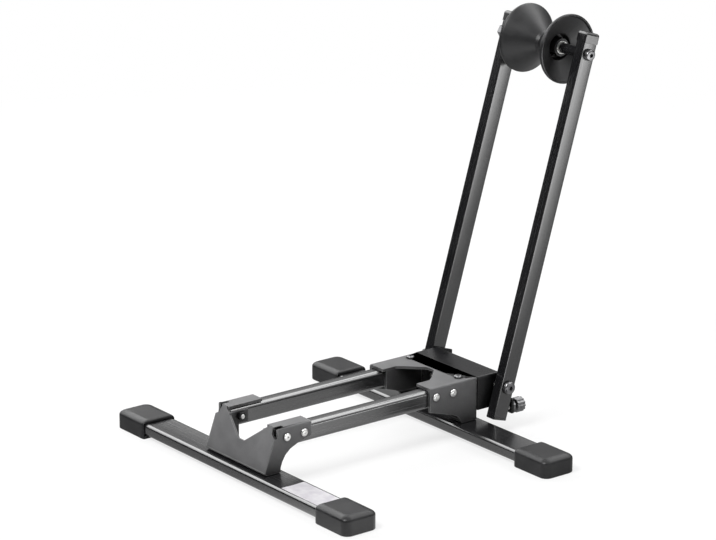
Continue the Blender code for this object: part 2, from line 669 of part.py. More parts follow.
def base_fasteners(steel):
    for side, sign in SIDES:
        screw("front_foot_screw_" + side, "Z", FOOT_PLATE_TOP, 1,
              (sign * FRONT_SCREW_HALF, FRONT_Y + FRONT_SCREW_BACK, 0.0), steel,
              SCREW_RADIUS, SCREW_LENGTH, SCREW_HEAD_RADIUS, SCREW_HEAD_HEIGHT)
        screw("rear_foot_screw_" + side, "Z", FOOT_PLATE_TOP, 1,
              (sign * REAR_SCREW_HALF, REAR_Y, 0.0), steel,
              SCREW_RADIUS, SCREW_LENGTH, SCREW_HEAD_RADIUS, SCREW_HEAD_HEIGHT)
        screw("saddle_screw_" + side, "Z", FLANGE_TOP, 1,
              (sign * (RAIL_INNER + RAIL_WIDTH / 2), REAR_Y - SADDLE_SCREW_FORWARD, 0.0),
              steel, SCREW_RADIUS, SCREW_LENGTH, SCREW_HEAD_RADIUS, SCREW_HEAD_HEIGHT)
        for tag, y in (("front", FRONT_Y + FRONT_RIVET_BACK),
                       ("middle", REAR_Y - REAR_RIVET_FRONT),
                       ("rear", REAR_Y - REAR_RIVET_REAR)):
            screw("rivet_" + tag + "_" + side, "X", sign * EAR_OUTER, sign,
                  (0.0, y, SIDE_BOLT_HEIGHT), steel,
                  RIVET_RADIUS, PLATE + RIVET_TAIL, SIDE_HEAD_RADIUS, SIDE_HEAD_HEIGHT)
        nut_face = CHEEK_INNER - GAP
        grip = EAR_OUTER - nut_face + SIDE_NUT_HEIGHT + 0.001
        screw("front_bolt_" + side, "X", sign * EAR_OUTER, sign,
              (0.0, FRONT_Y + FRONT_BOLT_BACK, SIDE_BOLT_HEIGHT), steel,
              SIDE_BOLT_RADIUS, grip, SIDE_HEAD_RADIUS, SIDE_HEAD_HEIGHT)
        start = sign * nut_face if sign < 0 else nut_face - SIDE_NUT_HEIGHT
        hex_nut("front_nut_" + side, SIDE_NUT_RADIUS, SIDE_NUT_HEIGHT,
                SIDE_BOLT_RADIUS + GAP, "X", start,
                (0.0, FRONT_Y + FRONT_BOLT_BACK, SIDE_BOLT_HEIGHT), steel)
        wall_back = HINGE_FRONT_Y + PLATE + GAP
        centre = (sign * HINGE_BOLT_HALF, 0.0, HINGE_BOLT_HEIGHT)
        screw("hinge_bolt_" + side, "Y", SADDLE_WALL_Y, -1, centre, steel,
              SIDE_BOLT_RADIUS, wall_back - SADDLE_WALL_Y + SIDE_NUT_HEIGHT + 0.001,
              SIDE_HEAD_RADIUS, SIDE_HEAD_HEIGHT)
        hex_nut("hinge_nut_" + side, SIDE_NUT_RADIUS, SIDE_NUT_HEIGHT,
                SIDE_BOLT_RADIUS + GAP, "Y", wall_back, centre, steel)


# Pivot
def pivot_bushes(look):
    """Flanged bushes in the hinge cheeks, in which the sleeve turns."""
    for side, sign in SIDES:
        flange = HINGE_INNER - GAP
        profile = [
            (sign * HINGE_HALF, SLEEVE_RADIUS + GAP),
            (sign * HINGE_HALF, PIVOT_BUSH_RADIUS),
            (sign * flange, PIVOT_BUSH_RADIUS),
            (sign * flange, PIVOT_BUSH_FLANGE),
            (sign * (flange - PIVOT_BUSH_RIM), PIVOT_BUSH_FLANGE),
            (sign * (flange - PIVOT_BUSH_RIM), SLEEVE_RADIUS + GAP),
        ]
        piece = turned("pivot_bush_" + side, profile, "X",
                       (0.0, PIVOT_Y, PIVOT_HEIGHT), look, ROUND, True)
        smooth(piece)


def least_gap(points, radius, apart):
    """Least gap of a tube to itself, among points at least so many steps apart."""
    nearest = min((points[k] - points[j]).length
                  for k in range(len(points)) for j in range(k - apart + 1))
    return nearest - 2 * radius


def torsion_spring(look):
    """A coil round the pivot sleeve, with one leg on the hinge bracket."""
    centre = Vector((0.0, PIVOT_Y, PIVOT_HEIGHT))
    start_x = -COIL_TURNS * COIL_PITCH / 2
    points = []
    leg = PIVOT_Y - (HINGE_FRONT_Y + PLATE + GAP)
    lift = FLANGE_BASE - GAP - WIRE_RADIUS - PIVOT_HEIGHT
    points.append(Vector((start_x, -leg, lift)))
    points.append(Vector((start_x, -0.7 * leg, lift)))
    count = COIL_TURNS * 10
    for k in range(count + 1):
        angle = 2 * math.pi * k / 10
        points.append(Vector((start_x + COIL_PITCH * k / 10,
                              COIL_RADIUS * math.sin(angle),
                              COIL_RADIUS * math.cos(angle))))
    points.append(Vector((-start_x, 0.006, COIL_RADIUS)))
    print(f"torsion_spring: least gap to itself {1000 * least_gap(points, WIRE_RADIUS, 5):.2f} mm")
    piece = swept("torsion_spring", [centre + where for where in points], WIRE_RADIUS, look)
    smooth(piece, 70)
    return piece


# Stop screw
def stop_parts(steel):
    face = (PIVOT_Y + UPRIGHT_DEPTH / 2 / math.cos(ARM_LEAN)
            + (STOP_HEIGHT + STOP_SCREW_RADIUS - PIVOT_HEIGHT) * math.tan(ARM_LEAN))
    tip = face + GAP
    end = KNOB_Y + KNOB_BORE - GAP
    centre = (UPRIGHT_X, 0.0, STOP_HEIGHT)
    profile = [
        (tip, 0.0),
        (tip, 0.6 * STOP_SCREW_RADIUS),
        (tip + 0.0012, STOP_SCREW_RADIUS),
        (end, STOP_SCREW_RADIUS),
        (end, 0.0),
    ]
    stop = turned("stop_screw", profile, "Y", centre, steel, 16)
    smooth(stop)
    hex_nut("stop_nut", STOP_NUT_RADIUS, STOP_NUT_HEIGHT, STOP_SCREW_RADIUS + GAP,
            "Y", STOP_NUT_Y, centre, steel)
    rim = []
    lobes = 12
    for k in range(lobes * 4):
        angle = 2 * math.pi * k / (lobes * 4)
        radius = KNOB_RADIUS - 0.0004 * (1 - math.cos(lobes * angle))
        rim.append((radius * math.cos(angle), radius * math.sin(angle)))
    knob = prism("stop_knob", rim, "Y", KNOB_Y, KNOB_Y + KNOB_LENGTH, steel)
    knob.data.transform(Matrix.Translation(centre))
    cut(knob, rod("stop_knob_bore", STOP_SCREW_RADIUS + GAP, "Y",
                  KNOB_Y - 0.005, KNOB_Y + KNOB_BORE, centre))
    place_origin(knob, centre[0], KNOB_Y, STOP_HEIGHT)
    place_origin(stop, centre[0], KNOB_Y, STOP_HEIGHT)


def place_origin(piece, x, y, z):
    """Puts a piece's origin at a point without moving the piece."""
    piece.data.transform(Matrix.Translation((-x, -y, -z)))
    piece.location = (x, y, z)


# Arm
def upright(name, sign, look, holder):
    outside = chamfered(UPRIGHT_WIDTH / 2, UPRIGHT_DEPTH / 2, UPRIGHT_CHAMFER,
                        sign * UPRIGHT_X, 0.0)
    inside = chamfered(UPRIGHT_WIDTH / 2 - UPRIGHT_WALL, UPRIGHT_DEPTH / 2 - UPRIGHT_WALL,
                       UPRIGHT_CHAMFER / 2, sign * UPRIGHT_X, 0.0)
    low = -UPRIGHT_BELOW
    high = ARM_LENGTH + UPRIGHT_ABOVE
    piece = prism(name, outside, "Z", low, high, look)
    cutters = [
        prism(name + "_hollow", inside, "Z", low - 0.01, high + 0.01),
        rod(name + "_pivot_hole", BOLT_RADIUS + GAP, "X", sign * UPRIGHT_X - 0.012,
            sign * UPRIGHT_X + 0.012, (0.0, 0.0, 0.0)),
        rod(name + "_axle_hole", BOLT_RADIUS + GAP, "X", sign * UPRIGHT_X - 0.012,
            sign * UPRIGHT_X + 0.012, (0.0, 0.0, ARM_LENGTH)),
    ]
    for cutter in cutters:
        cut(piece, cutter)
        cutter.parent = holder
    piece.parent = holder
    return piece


def spigot_half(wall):
    return (UPRIGHT_WIDTH / 2 - wall - GAP, UPRIGHT_DEPTH / 2 - wall - GAP)


def tube_plug(name, sign, look, holder, seat, height, lip, depth, direction):
    """A moulded plug: a spigot in the tube and a rounded head on its end."""
    half_x, half_y = spigot_half(UPRIGHT_WALL)
    head_x = UPRIGHT_WIDTH / 2 + lip
    head_y = UPRIGHT_DEPTH / 2 + lip
    bm = bmesh.new()
    layers = (
        (-depth, half_x - 0.0005, half_y - 0.0005, 0.0008),
        (GAP, half_x, half_y, 0.0008),
        (GAP, head_x, head_y, 0.0014),
        (GAP + 0.55 * height, head_x, head_y, 0.0014),
        (GAP + 0.88 * height, head_x - 0.0010, head_y - 0.0010, 0.0020),
        (GAP + height, head_x - 0.0035, head_y - 0.0045, 0.0020),
    )
    rings = []
    for z, half_u, half_v, chamfer in layers:
        points = chamfered(half_u, half_v, chamfer, sign * UPRIGHT_X, 0.0)
        rings.append([bm.verts.new((u, v, seat + direction * z)) for u, v in points])
    for low, high in zip(rings, rings[1:]):
        for k in range(len(low)):
            n = (k + 1) % len(low)
            bm.faces.new((low[k], low[n], high[n], high[k]))
    bm.faces.new(rings[0])
    bm.faces.new(rings[-1])
    piece = to_object(name, bm, look)
    smooth(piece)
    piece.parent = holder
    return piece


def long_bolt(name, z, radius, look, holder):
    """A through bolt: domed head with a hex recess on the right side."""
    left = -UPRIGHT_OUTER - GAP - NUT_HEIGHT - 0.002
    head = UPRIGHT_OUTER + GAP
    profile = [
        (left, 0.0),
        (left, BOLT_RADIUS - 0.0006),
        (left + 0.0008, BOLT_RADIUS),
        (head, BOLT_RADIUS),
        (head, radius),
        (head + 0.45 * HEAD_HEIGHT, radius),
        (head + 0.80 * HEAD_HEIGHT, 0.86 * radius),
        (head + HEAD_HEIGHT, 0.60 * radius),
        (head + HEAD_HEIGHT, 0.0),
    ]
    piece = turned(name, profile, "X", (0.0, 0.0, z), look)
    recess = prism(name + "_recess", hexagon(HEX_RECESS), "X",
                   head + 0.4 * HEAD_HEIGHT, head + 2 * HEAD_HEIGHT)
    recess.data.transform(Matrix.Translation((0.0, 0.0, z)))
    cut(piece, recess)
    recess.parent = holder
    piece.parent = holder
    smooth(piece)
    nut = prism(name.replace("bolt", "nut"), hexagon(NUT_RADIUS), "X",
                -UPRIGHT_OUTER - GAP - NUT_HEIGHT, -UPRIGHT_OUTER - GAP, look)
    nut.data.transform(Matrix.Translation((0.0, 0.0, z)))
    bore = rod(nut.name + "_bore", BOLT_RADIUS + GAP, "X", -UPRIGHT_OUTER - 0.02,
               -UPRIGHT_OUTER + 0.02, (0.0, 0.0, z))
    cut(nut, bore)
    bore.parent = holder
    nut.parent = holder
    return piece


def sleeve(name, start, end, outer, inner, z, look, holder):
    """A plain round tube on an axis along X."""
    profile = [(start, inner), (start, outer), (end, outer), (end, inner)]
    piece = turned(name, profile, "X", (0.0, 0.0, z), look, ROUND, True)
    smooth(piece)
    piece.parent = holder
    return piece


def roller_cone(name, sign, look, holder):
    """One half of the grooved roller: a dished cone, open on its outer side."""
    rim = ROLLER_HALF - ROLLER_RIM
    bore = HUB_RADIUS + GAP
    profile = [
        (GAP / 2, bore),
        (GAP / 2, GROOVE_RADIUS),
        (0.0040, GROOVE_RADIUS + 0.0016),
        (rim - 0.0025, ROLLER_RADIUS - 0.0022),
        (rim - 0.0004, ROLLER_RADIUS - 0.0004),
        (rim + 0.0008, ROLLER_RADIUS),
        (ROLLER_HALF - 0.0008, ROLLER_RADIUS),
        (ROLLER_HALF, ROLLER_RADIUS - 0.0008),
        (ROLLER_HALF, ROLLER_RADIUS - CONE_LIP),
        (ROLLER_HALF - 0.0025, ROLLER_RADIUS - CONE_LIP - 0.0008),
        (DISH_FLOOR, DISH_RADIUS),
        (DISH_FLOOR - 0.0010, RECESS_RADIUS),
        (RECESS_FLOOR, RECESS_RADIUS - 0.0008),
        (RECESS_FLOOR, BOSS_RADIUS + 0.0008),
        (HUB_HALF - 0.0008, BOSS_RADIUS),
        (HUB_HALF - 0.0008, bore),
    ]
    points = [(sign * along, radius) for along, radius in profile]
    piece = turned(name, points, "X", (0.0, 0.0, 0.0), look, FINE, True)
    smooth(piece)
    piece.parent = holder
    return piece


def arm(aluminium, black, steel, roller, nylon):
    holder = bpy.data.objects.new("arm_axis", None)
    bpy.context.scene.collection.objects.link(holder)
    holder.location = (0.0, PIVOT_Y, PIVOT_HEIGHT)
    holder.rotation_euler = (-ARM_LEAN, 0.0, 0.0)
    axle = bpy.data.objects.new("roller_axis", None)
    bpy.context.scene.collection.objects.link(axle)
    axle.parent = holder
    axle.location = (0.0, 0.0, ARM_LENGTH)
    for side, sign in SIDES:
        upright("upright_" + side, sign, aluminium, holder)
        tube_plug("upright_top_cap_" + side, sign, black, holder,
                  ARM_LENGTH + UPRIGHT_ABOVE, TOP_CAP_HEIGHT, TOP_CAP_LIP,
                  UPRIGHT_ABOVE - BOLT_RADIUS - 0.001, 1)
        tube_plug("upright_bottom_plug_" + side, sign, black, holder,
                  -UPRIGHT_BELOW, BOTTOM_PLUG_HEIGHT, 0.0, PLUG_DEPTH, -1)
        ends = sorted((sign * (HUB_HALF + GAP), sign * (UPRIGHT_INNER - GAP)))
        sleeve("axle_spacer_" + side, ends[0], ends[1], SPACER_RADIUS,
               BOLT_RADIUS + GAP, ARM_LENGTH, black, holder)
    long_bolt("pivot_bolt", 0.0, PIVOT_HEAD_RADIUS, steel, holder)
    long_bolt("axle_bolt", ARM_LENGTH, AXLE_HEAD_RADIUS, steel, holder)
    reach = UPRIGHT_INNER - GAP
    sleeve("pivot_sleeve", -reach, reach, SLEEVE_RADIUS, BOLT_RADIUS + GAP,
           0.0, steel, holder)
    sleeve("roller_hub", -HUB_HALF, HUB_HALF, HUB_RADIUS, HUB_RADIUS - HUB_WALL,
           0.0, steel, axle)
    for side, sign in SIDES:
        roller_cone("roller_cone_" + side, sign, roller, axle)
        ends = sorted((sign * (HUB_HALF - BUSH_LENGTH), sign * HUB_HALF))
        sleeve("roller_bush_" + side, ends[0], ends[1], HUB_RADIUS - HUB_WALL - GAP,
               BOLT_RADIUS + GAP, 0.0, nylon, axle)


def build():
    clear_scene()
    aluminium = material("black anodised aluminium", (0.028, 0.028, 0.030), 0.38, 0.7)
    painted = material("black powder coated steel", (0.035, 0.035, 0.037), 0.55, 0.1)
    black = material("black moulded plastic", (0.022, 0.022, 0.023), 0.60, 0.0)
    roller = material("black roller plastic", (0.018, 0.018, 0.018), 0.60, 0.0)
    steel = material("bright zinc plated steel", (0.62, 0.62, 0.62), 0.30, 1.0)
    nylon = material("white nylon", (0.70, 0.70, 0.68), 0.50, 0.0)

    cross_bar("front_bar", FRONT_Y, aluminium, FRONT_SCREW_HALF, FRONT_Y + FRONT_SCREW_BACK)
    cross_bar("rear_bar", REAR_Y, aluminium, REAR_SCREW_HALF, REAR_Y)
    for side, sign in SIDES:
        foot("end_cap_front_" + side, sign, FRONT_Y, black)
        foot("end_cap_rear_" + side, sign, REAR_Y, black)
        rail("rail_" + side, sign, aluminium)
    front_bracket(painted)
    rear_saddle(painted)
    hinge_bracket(painted)
    base_fasteners(steel)
    pivot_bushes(nylon)
    torsion_spring(steel)
    stop_parts(steel)
    arm(aluminium, black, steel, roller, nylon)


build()
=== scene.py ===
# %% [markdown]
# # A storage stand for one bicycle wheel
#
# The stand is a low frame of black aluminium bars and rails, three folded steel
# brackets and a leaning pair of uprights with a grooved roller. The solid model
# already has every piece at its real size. This lesson dresses it: each piece gets
# the rounded edges and the surface that the maker gives it, and the pieces keep
# their place, so that the joints of the model still work.
#
# Every length is in metres. X runs across the wheel, Y runs back along the rails
# and Z is up.

# %% Load the solid model
import math

import bmesh
import bpy
from mathutils import Matrix, Vector


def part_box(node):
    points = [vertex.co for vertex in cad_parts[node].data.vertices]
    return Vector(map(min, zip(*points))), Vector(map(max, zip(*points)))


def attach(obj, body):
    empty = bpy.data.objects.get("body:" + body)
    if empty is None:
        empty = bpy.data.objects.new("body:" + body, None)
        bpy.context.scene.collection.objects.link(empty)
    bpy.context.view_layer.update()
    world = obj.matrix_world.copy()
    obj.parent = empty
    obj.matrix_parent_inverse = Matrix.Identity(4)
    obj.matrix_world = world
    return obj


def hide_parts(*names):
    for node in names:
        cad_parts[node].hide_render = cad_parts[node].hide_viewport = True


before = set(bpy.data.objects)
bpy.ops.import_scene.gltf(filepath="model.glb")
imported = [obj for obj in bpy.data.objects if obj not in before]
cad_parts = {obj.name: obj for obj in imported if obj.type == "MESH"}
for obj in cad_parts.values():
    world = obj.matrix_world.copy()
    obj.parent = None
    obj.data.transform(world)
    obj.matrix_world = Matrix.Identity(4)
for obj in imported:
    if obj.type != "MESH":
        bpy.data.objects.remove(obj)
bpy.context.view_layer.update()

# %% [markdown]
# ## The camera
#
# The picture is a product shot with a long lens from the front right, a little
# above the stand. A long lens keeps the bars nearly parallel. The lens, the place
# and the two angles were found by matching corners of the stand in the picture.

# %% Camera
TURN = 52.236
DROP = 17.394
LENS = 165.46
SENSOR_WIDTH = 36.0
CAMERA_PLACE = (2.5607, -2.0435, 1.2065)

camera_data = bpy.data.cameras.new("camera")
camera_data.lens = LENS
camera_data.sensor_width = SENSOR_WIDTH
camera_data.clip_start = 0.1
camera_data.clip_end = 100.0
camera = bpy.data.objects.new("camera", camera_data)
camera.location = CAMERA_PLACE
camera.rotation_euler = (math.radians(90 - DROP), 0.0, math.radians(TURN))
bpy.context.scene.collection.objects.link(camera)
bpy.context.scene.camera = camera
bpy.context.scene.view_settings.view_transform = "Standard"
print("camera at", tuple(round(v, 3) for v in camera.location))

# %% [markdown]
# ## The studio
#
# Black parts are drawn by what they mirror. The picture was taken on a white sweep,
# so a glossy face that looks back, up or down shows white, and one that looks
# towards the dark room in front of the sweep shows nearly black. The world repeats
# that: white high up and behind, dimmer towards the floor line, and a dark room in
# front. Rays that only light the scene get an even, softer world.
#
# Two short helpers build the nodes, because writing out every socket would hide
# what the graph does. A value that is a socket is linked, and a plain number is set.


# %% Studio helpers
def value_range(tree, value, start, end, low, high, smooth=False):
    """Spreads a value between two ends over a stretch of another one."""
    ranged = tree.nodes.new("ShaderNodeMapRange")
    if smooth:
        ranged.interpolation_type = "SMOOTHSTEP"
    ranged.inputs["From Min"].default_value = start
    ranged.inputs["From Max"].default_value = end
    ranged.inputs["To Min"].default_value = low
    ranged.inputs["To Max"].default_value = high
    tree.links.new(value, ranged.inputs["Value"])
    return ranged.outputs["Result"]


def filled(tree, kind, *values, operation=None):
    """A new node whose first sockets get these values."""
    node = tree.nodes.new(kind)
    if operation:
        node.operation = operation
    for socket, value in zip(node.inputs, values):
        if isinstance(value, bpy.types.NodeSocket):
            tree.links.new(value, socket)
        else:
            socket.default_value = value
    return node


# %% World
WHITE = (1.0, 1.0, 1.0, 1.0)
SKY_SOFT = 0.13                        # strength of the even light
SKY_FRONT = (-0.50, -0.10, 0.03, 1.0)  # dark room in front, over a direction's Y
SKY_HIGH = (0.16, 0.56, 0.12, 1.0)     # dimmer near the floor line, over its Z

world = bpy.data.worlds.new("studio")
bpy.context.scene.world = world
world.use_nodes = True
sky = world.node_tree
sky.nodes.clear()
sky_where = sky.nodes.new("ShaderNodeTexCoord")
sky_split = filled(sky, "ShaderNodeSeparateXYZ", sky_where.outputs["Generated"])
sky_front = value_range(sky, sky_split.outputs["Y"], *SKY_FRONT, smooth=True)
sky_high = value_range(sky, sky_split.outputs["Z"], *SKY_HIGH, smooth=True)
sky_tone = filled(sky, "ShaderNodeMath", sky_front, sky_high, operation="MULTIPLY")
sky_soft = filled(sky, "ShaderNodeBackground", sky_front, SKY_SOFT)
sky_seen = filled(sky, "ShaderNodeBackground", sky_tone.outputs[0], 1.0)
sky_white = filled(sky, "ShaderNodeBackground", WHITE, 1.0)
sky_path = sky.nodes.new("ShaderNodeLightPath")
sky_sharp = filled(sky, "ShaderNodeMath", sky_path.outputs["Is Glossy Ray"],
                   sky_path.outputs["Is Transmission Ray"], operation="MAXIMUM")
sky_mix = filled(sky, "ShaderNodeMixShader", sky_sharp.outputs[0],
                 sky_soft.outputs[0], sky_seen.outputs[0])
sky_behind = filled(sky, "ShaderNodeMixShader", sky_path.outputs["Is Camera Ray"],
                    sky_mix.outputs[0], sky_white.outputs[0])
filled(sky, "ShaderNodeOutputWorld", sky_behind.outputs[0])
print("world nodes:", len(sky.nodes))

# %% [markdown]
# The sweep itself is a round sheet. The camera sees it white. Mirrors see it
# brighter to the right of the stand, where the sides of the uprights look, and dark
# in front, as the room is.

# %% Floor
FLOOR_RADIUS = 2.4
FLOOR_MIDDLE = (0.7, 0.5, 0.0)
FLOOR_TONE = (0.93, 0.93, 0.93, 1.0)
FLOOR_ROUGHNESS = 0.9
FLOOR_GLOW = (0.5, 1.5, 0.75, 1.0)     # share of glow in view, over the distance
MIRRORED_SHARE = 0.92                  # share of glow in mirrors
BRIGHT_SIDE = (1.0, -0.6, 0.0)
BRIGHT_RANGE = (0.10, 0.80, 0.52, 5.5)  # glow in mirrors, towards the bright side
FRONT_RANGE = (-0.32, -0.20, 0.2, 1.0)  # how much of it is left in front, over Y

floor_bm = bmesh.new()
bmesh.ops.create_circle(floor_bm, cap_ends=True, segments=128, radius=FLOOR_RADIUS,
                        matrix=Matrix.Translation(FLOOR_MIDDLE))
floor_mesh = bpy.data.meshes.new("floor")
floor_bm.to_mesh(floor_mesh)
floor_bm.free()
floor = bpy.data.objects.new("floor", floor_mesh)
bpy.context.scene.collection.objects.link(floor)

paper = bpy.data.materials.new("white sweep")
paper.use_nodes = True
sheet = paper.node_tree
sheet_shader = sheet.nodes["Principled BSDF"]
sheet_shader.inputs["Base Color"].default_value = FLOOR_TONE
sheet_shader.inputs["Roughness"].default_value = FLOOR_ROUGHNESS
sheet_where = sheet.nodes.new("ShaderNodeTexCoord").outputs["Object"]
sheet_path = sheet.nodes.new("ShaderNodeLightPath")
sheet_reach = filled(sheet, "ShaderNodeVectorMath", sheet_where, operation="LENGTH")
sheet_seen = value_range(sheet, sheet_reach.outputs["Value"], *FLOOR_GLOW)
sheet_side = filled(sheet, "ShaderNodeVectorMath", sheet_where, BRIGHT_SIDE,
                    operation="DOT_PRODUCT")
sheet_bright = value_range(sheet, sheet_side.outputs["Value"], *BRIGHT_RANGE, smooth=True)
sheet_split = filled(sheet, "ShaderNodeSeparateXYZ", sheet_where)
sheet_front = value_range(sheet, sheet_split.outputs["Y"], *FRONT_RANGE)
sheet_lit = filled(sheet, "ShaderNodeMath", sheet_bright, sheet_front,
                   operation="MULTIPLY")
sheet_power = sheet.nodes.new("ShaderNodeMix")
sheet.links.new(sheet_path.outputs["Is Camera Ray"], sheet_power.inputs[0])
sheet.links.new(sheet_lit.outputs[0], sheet_power.inputs[2])
sheet_power.inputs[3].default_value = 1.0
sheet_glow = filled(sheet, "ShaderNodeEmission", WHITE, sheet_power.outputs[0])
sheet_camera = filled(sheet, "ShaderNodeMath", sheet_path.outputs["Is Camera Ray"],
                      sheet_seen, operation="MULTIPLY")
sheet_mirror = filled(sheet, "ShaderNodeMath", sheet_path.outputs["Is Glossy Ray"],
                      MIRRORED_SHARE, sheet_camera.outputs[0], operation="MULTIPLY_ADD")
sheet_mix = filled(sheet, "ShaderNodeMixShader", sheet_mirror.outputs[0],
                   sheet_shader.outputs[0], sheet_glow.outputs[0])
sheet.links.new(sheet_mix.outputs[0], sheet.nodes["Material Output"].inputs["Surface"])
floor_mesh.materials.append(paper)
print("floor", 2 * FLOOR_RADIUS, "m across")

# %% [markdown]
# Three wide lamps hang round the stand: one on its left, one behind it and one in
# front. Their width is what makes the shadows soft. Sharp lamps would draw hard
# shadows that the picture doesn't have. The camera itself doesn't see the lamps.


# %% Lamps
LAMP_TARGET = Vector((0.0, 0.0, 0.15))


def softbox(name, place, width, height, power):
    """A wide lamp that looks at the middle of the stand."""
    lamp = bpy.data.lights.new(name, "AREA")
    lamp.shape = "RECTANGLE"
    lamp.size = width
    lamp.size_y = height
    lamp.energy = power
    holder = bpy.data.objects.new(name, lamp)
    holder.location = place
    away = Vector(place) - LAMP_TARGET
    holder.rotation_euler = away.to_track_quat("Z", "Y").to_euler()
    holder.visible_camera = False
    bpy.context.scene.collection.objects.link(holder)


softbox("strip left", (-2.2, -0.25, 1.65), 3.0, 1.6, 46.0)
softbox("strip behind", (0.0, 1.8, 2.4), 3.6, 1.6, 46.0)
softbox("box front", (0.3, -1.9, 2.6), 1.2, 1.2, 80.0)

# %% [markdown]
# ## Surfaces
#
# Each finish is made of nodes on Object coordinates, so that its grain has one size
# on every piece, whatever its shape. A picture would need unwrapping and would
# repeat. Noise is what makes a surface uneven: a finish spreads it over a range of
# roughness and between two close tones. Two further helpers look at the shape
# around a point. One lets a paler tone through at an edge, partly as wear of the
# coat and partly as a painted highlight. The other paints shade: it darkens what
# lies deep between other faces.


# %% Finish helpers
def new_finish(name, colour, roughness, metallic=0.0, ior=1.5):
    made = bpy.data.materials.new(name)
    made.use_nodes = True
    shader = made.node_tree.nodes["Principled BSDF"]
    shader.inputs["Base Color"].default_value = (*colour, 1.0)
    shader.inputs["Roughness"].default_value = roughness
    shader.inputs["Metallic"].default_value = metallic
    shader.inputs["IOR"].default_value = ior
    made.diffuse_color = (*colour, 1.0)
    return made


def connect(made, value, socket):
    shader = made.node_tree.nodes["Principled BSDF"]
    made.node_tree.links.new(value, shader.inputs[socket])


def noise(made, scale, detail, stretch=(1.0, 1.0, 1.0), turn=0.0):
    """Noise in Object coordinates, turned about X and then stretched."""
    tree = made.node_tree
    where = tree.nodes.new("ShaderNodeTexCoord")
    turned_space = filled(tree, "ShaderNodeMapping", where.outputs["Object"])
    turned_space.inputs["Rotation"].default_value = (turn, 0.0, 0.0)
    stretched = filled(tree, "ShaderNodeMapping", turned_space.outputs["Vector"])
    stretched.inputs["Scale"].default_value = stretch
    grain = filled(tree, "ShaderNodeTexNoise", stretched.outputs["Vector"])
    grain.inputs["Scale"].default_value = scale
    grain.inputs["Detail"].default_value = detail
    return grain.outputs["Fac"]


def spread(made, value, low, high):
    """Noise spread between two roughness values."""
    connect(made, value_range(made.node_tree, value, 0.3, 0.7, low, high), "Roughness")


def two_tones(made, value, dark, light):
    """Noise turned into a slow change between two colours."""
    ramp = filled(made.node_tree, "ShaderNodeValToRGB", value)
    for stop, place, tone in zip(ramp.color_ramp.elements, (0.35, 0.65), (dark, light)):
        stop.position = place
        stop.color = (*tone, 1.0)
    return ramp.outputs["Color"]


def relief(made, value, height):
    """A bump of a real height, in metres."""
    bump = made.node_tree.nodes.new("ShaderNodeBump")
    bump.inputs["Strength"].default_value = 1.0
    bump.inputs["Distance"].default_value = height
    made.node_tree.links.new(value, bump.inputs["Height"])
    connect(made, bump.outputs["Normal"], "Normal")


def worn_and_highlit_edges(made, tone, edge_wear_and_highlight, radius, share):
    """Lets a paler tone through where the surface turns a corner: partly wear, partly a
    painted highlight.
    """
    tree = made.node_tree
    softened = tree.nodes.new("ShaderNodeBevel")
    softened.samples = 6
    softened.inputs["Radius"].default_value = radius
    shape = tree.nodes.new("ShaderNodeNewGeometry")
    likeness = filled(tree, "ShaderNodeVectorMath", softened.outputs["Normal"],
                      shape.outputs["Normal"], operation="DOT_PRODUCT")
    mask = value_range(tree, likeness.outputs["Value"], 0.995, 0.90, 0.0, share)
    mixed = tree.nodes.new("ShaderNodeMix")
    mixed.data_type = "RGBA"
    mixed.inputs[7].default_value = (*edge_wear_and_highlight, 1.0)
    tree.links.new(mask, mixed.inputs[0])
    tree.links.new(tone, mixed.inputs[6])
    connect(made, mixed.outputs[2], "Base Color")


def painted_recess_shade(made, tone, reach, dark):
    """Paints shade: darkens a tone where other faces close in on it, as shade falls in a
    hollow.
    """
    tree = made.node_tree
    closed = tree.nodes.new("ShaderNodeAmbientOcclusion")
    closed.samples = 6
    closed.inputs["Distance"].default_value = reach
    mask = value_range(tree, closed.outputs["AO"], 0.50, 0.96, dark, 1.0)
    scaled = filled(tree, "ShaderNodeVectorMath", tone, operation="SCALE")
    tree.links.new(mask, scaled.inputs["Scale"])
    return scaled.outputs["Vector"]


print("finish helpers ready")

# %% [markdown]
# The bars, rails and uprights are extruded aluminium, anodised black. The die leaves
# fine lines along the length, which stretch the reflections. Anisotropic shading
# could do that too, but it needs tangents. Noise that is stretched a few hundred
# times along the piece gives the lines themselves. On the uprights the noise leans
# with the arm, so the lean is measured first, from the pivot to the roller's axle.


# %% Lean of the arm
def centre(node):
    low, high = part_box(node)
    return (low + high) / 2


pivot = centre("pivot_sleeve")
axle = centre("roller_hub")
lean = math.atan2(axle.y - pivot.y, axle.z - pivot.z)
print("lean of the uprights:", round(math.degrees(lean), 2), "degrees")


# %% Anodised aluminium
def anodised(name, stretch, ior, turn=0.0):
    made = new_finish(name, (0.012, 0.012, 0.013), 0.22, ior=ior)
    lines = noise(made, 1.0, 3.0, stretch, turn)
    tone = two_tones(made, noise(made, 22.0, 4.0), (0.008, 0.008, 0.009),
                     (0.015, 0.015, 0.016))
    spread(made, lines, 0.15, 0.28)
    # Paler edges on the tubes: partly wear, partly a painted highlight that widens the bright
    # line of each rounded edge.
    worn_and_highlit_edges(made, tone, (0.060, 0.060, 0.062), 0.0012, 0.6)
    relief(made, lines, 0.00001)
    return made


bar_finish = anodised("anodised bar", (4.0, 900.0, 900.0), 2.1)
rail_finish = anodised("anodised rail", (900.0, 4.0, 900.0), 2.5)
upright_finish = anodised("anodised upright", (900.0, 900.0, 4.0), 1.9, lean)
print("anodised:", bar_finish.name, rail_finish.name, upright_finish.name)

# %% [markdown]
# The folded brackets are powder coated. The baked powder keeps a faint orange peel,
# which a bump of three hundredths of a millimetre draws. The front bracket and the
# saddle look dark grey. The hinge bracket has a smoother, blacker coat, whose tone is
# set darker still as painted shade for the shade of the uprights. Both coats get
# painted shade in their hollows, and paler edges that are partly wear and partly a
# painted highlight.


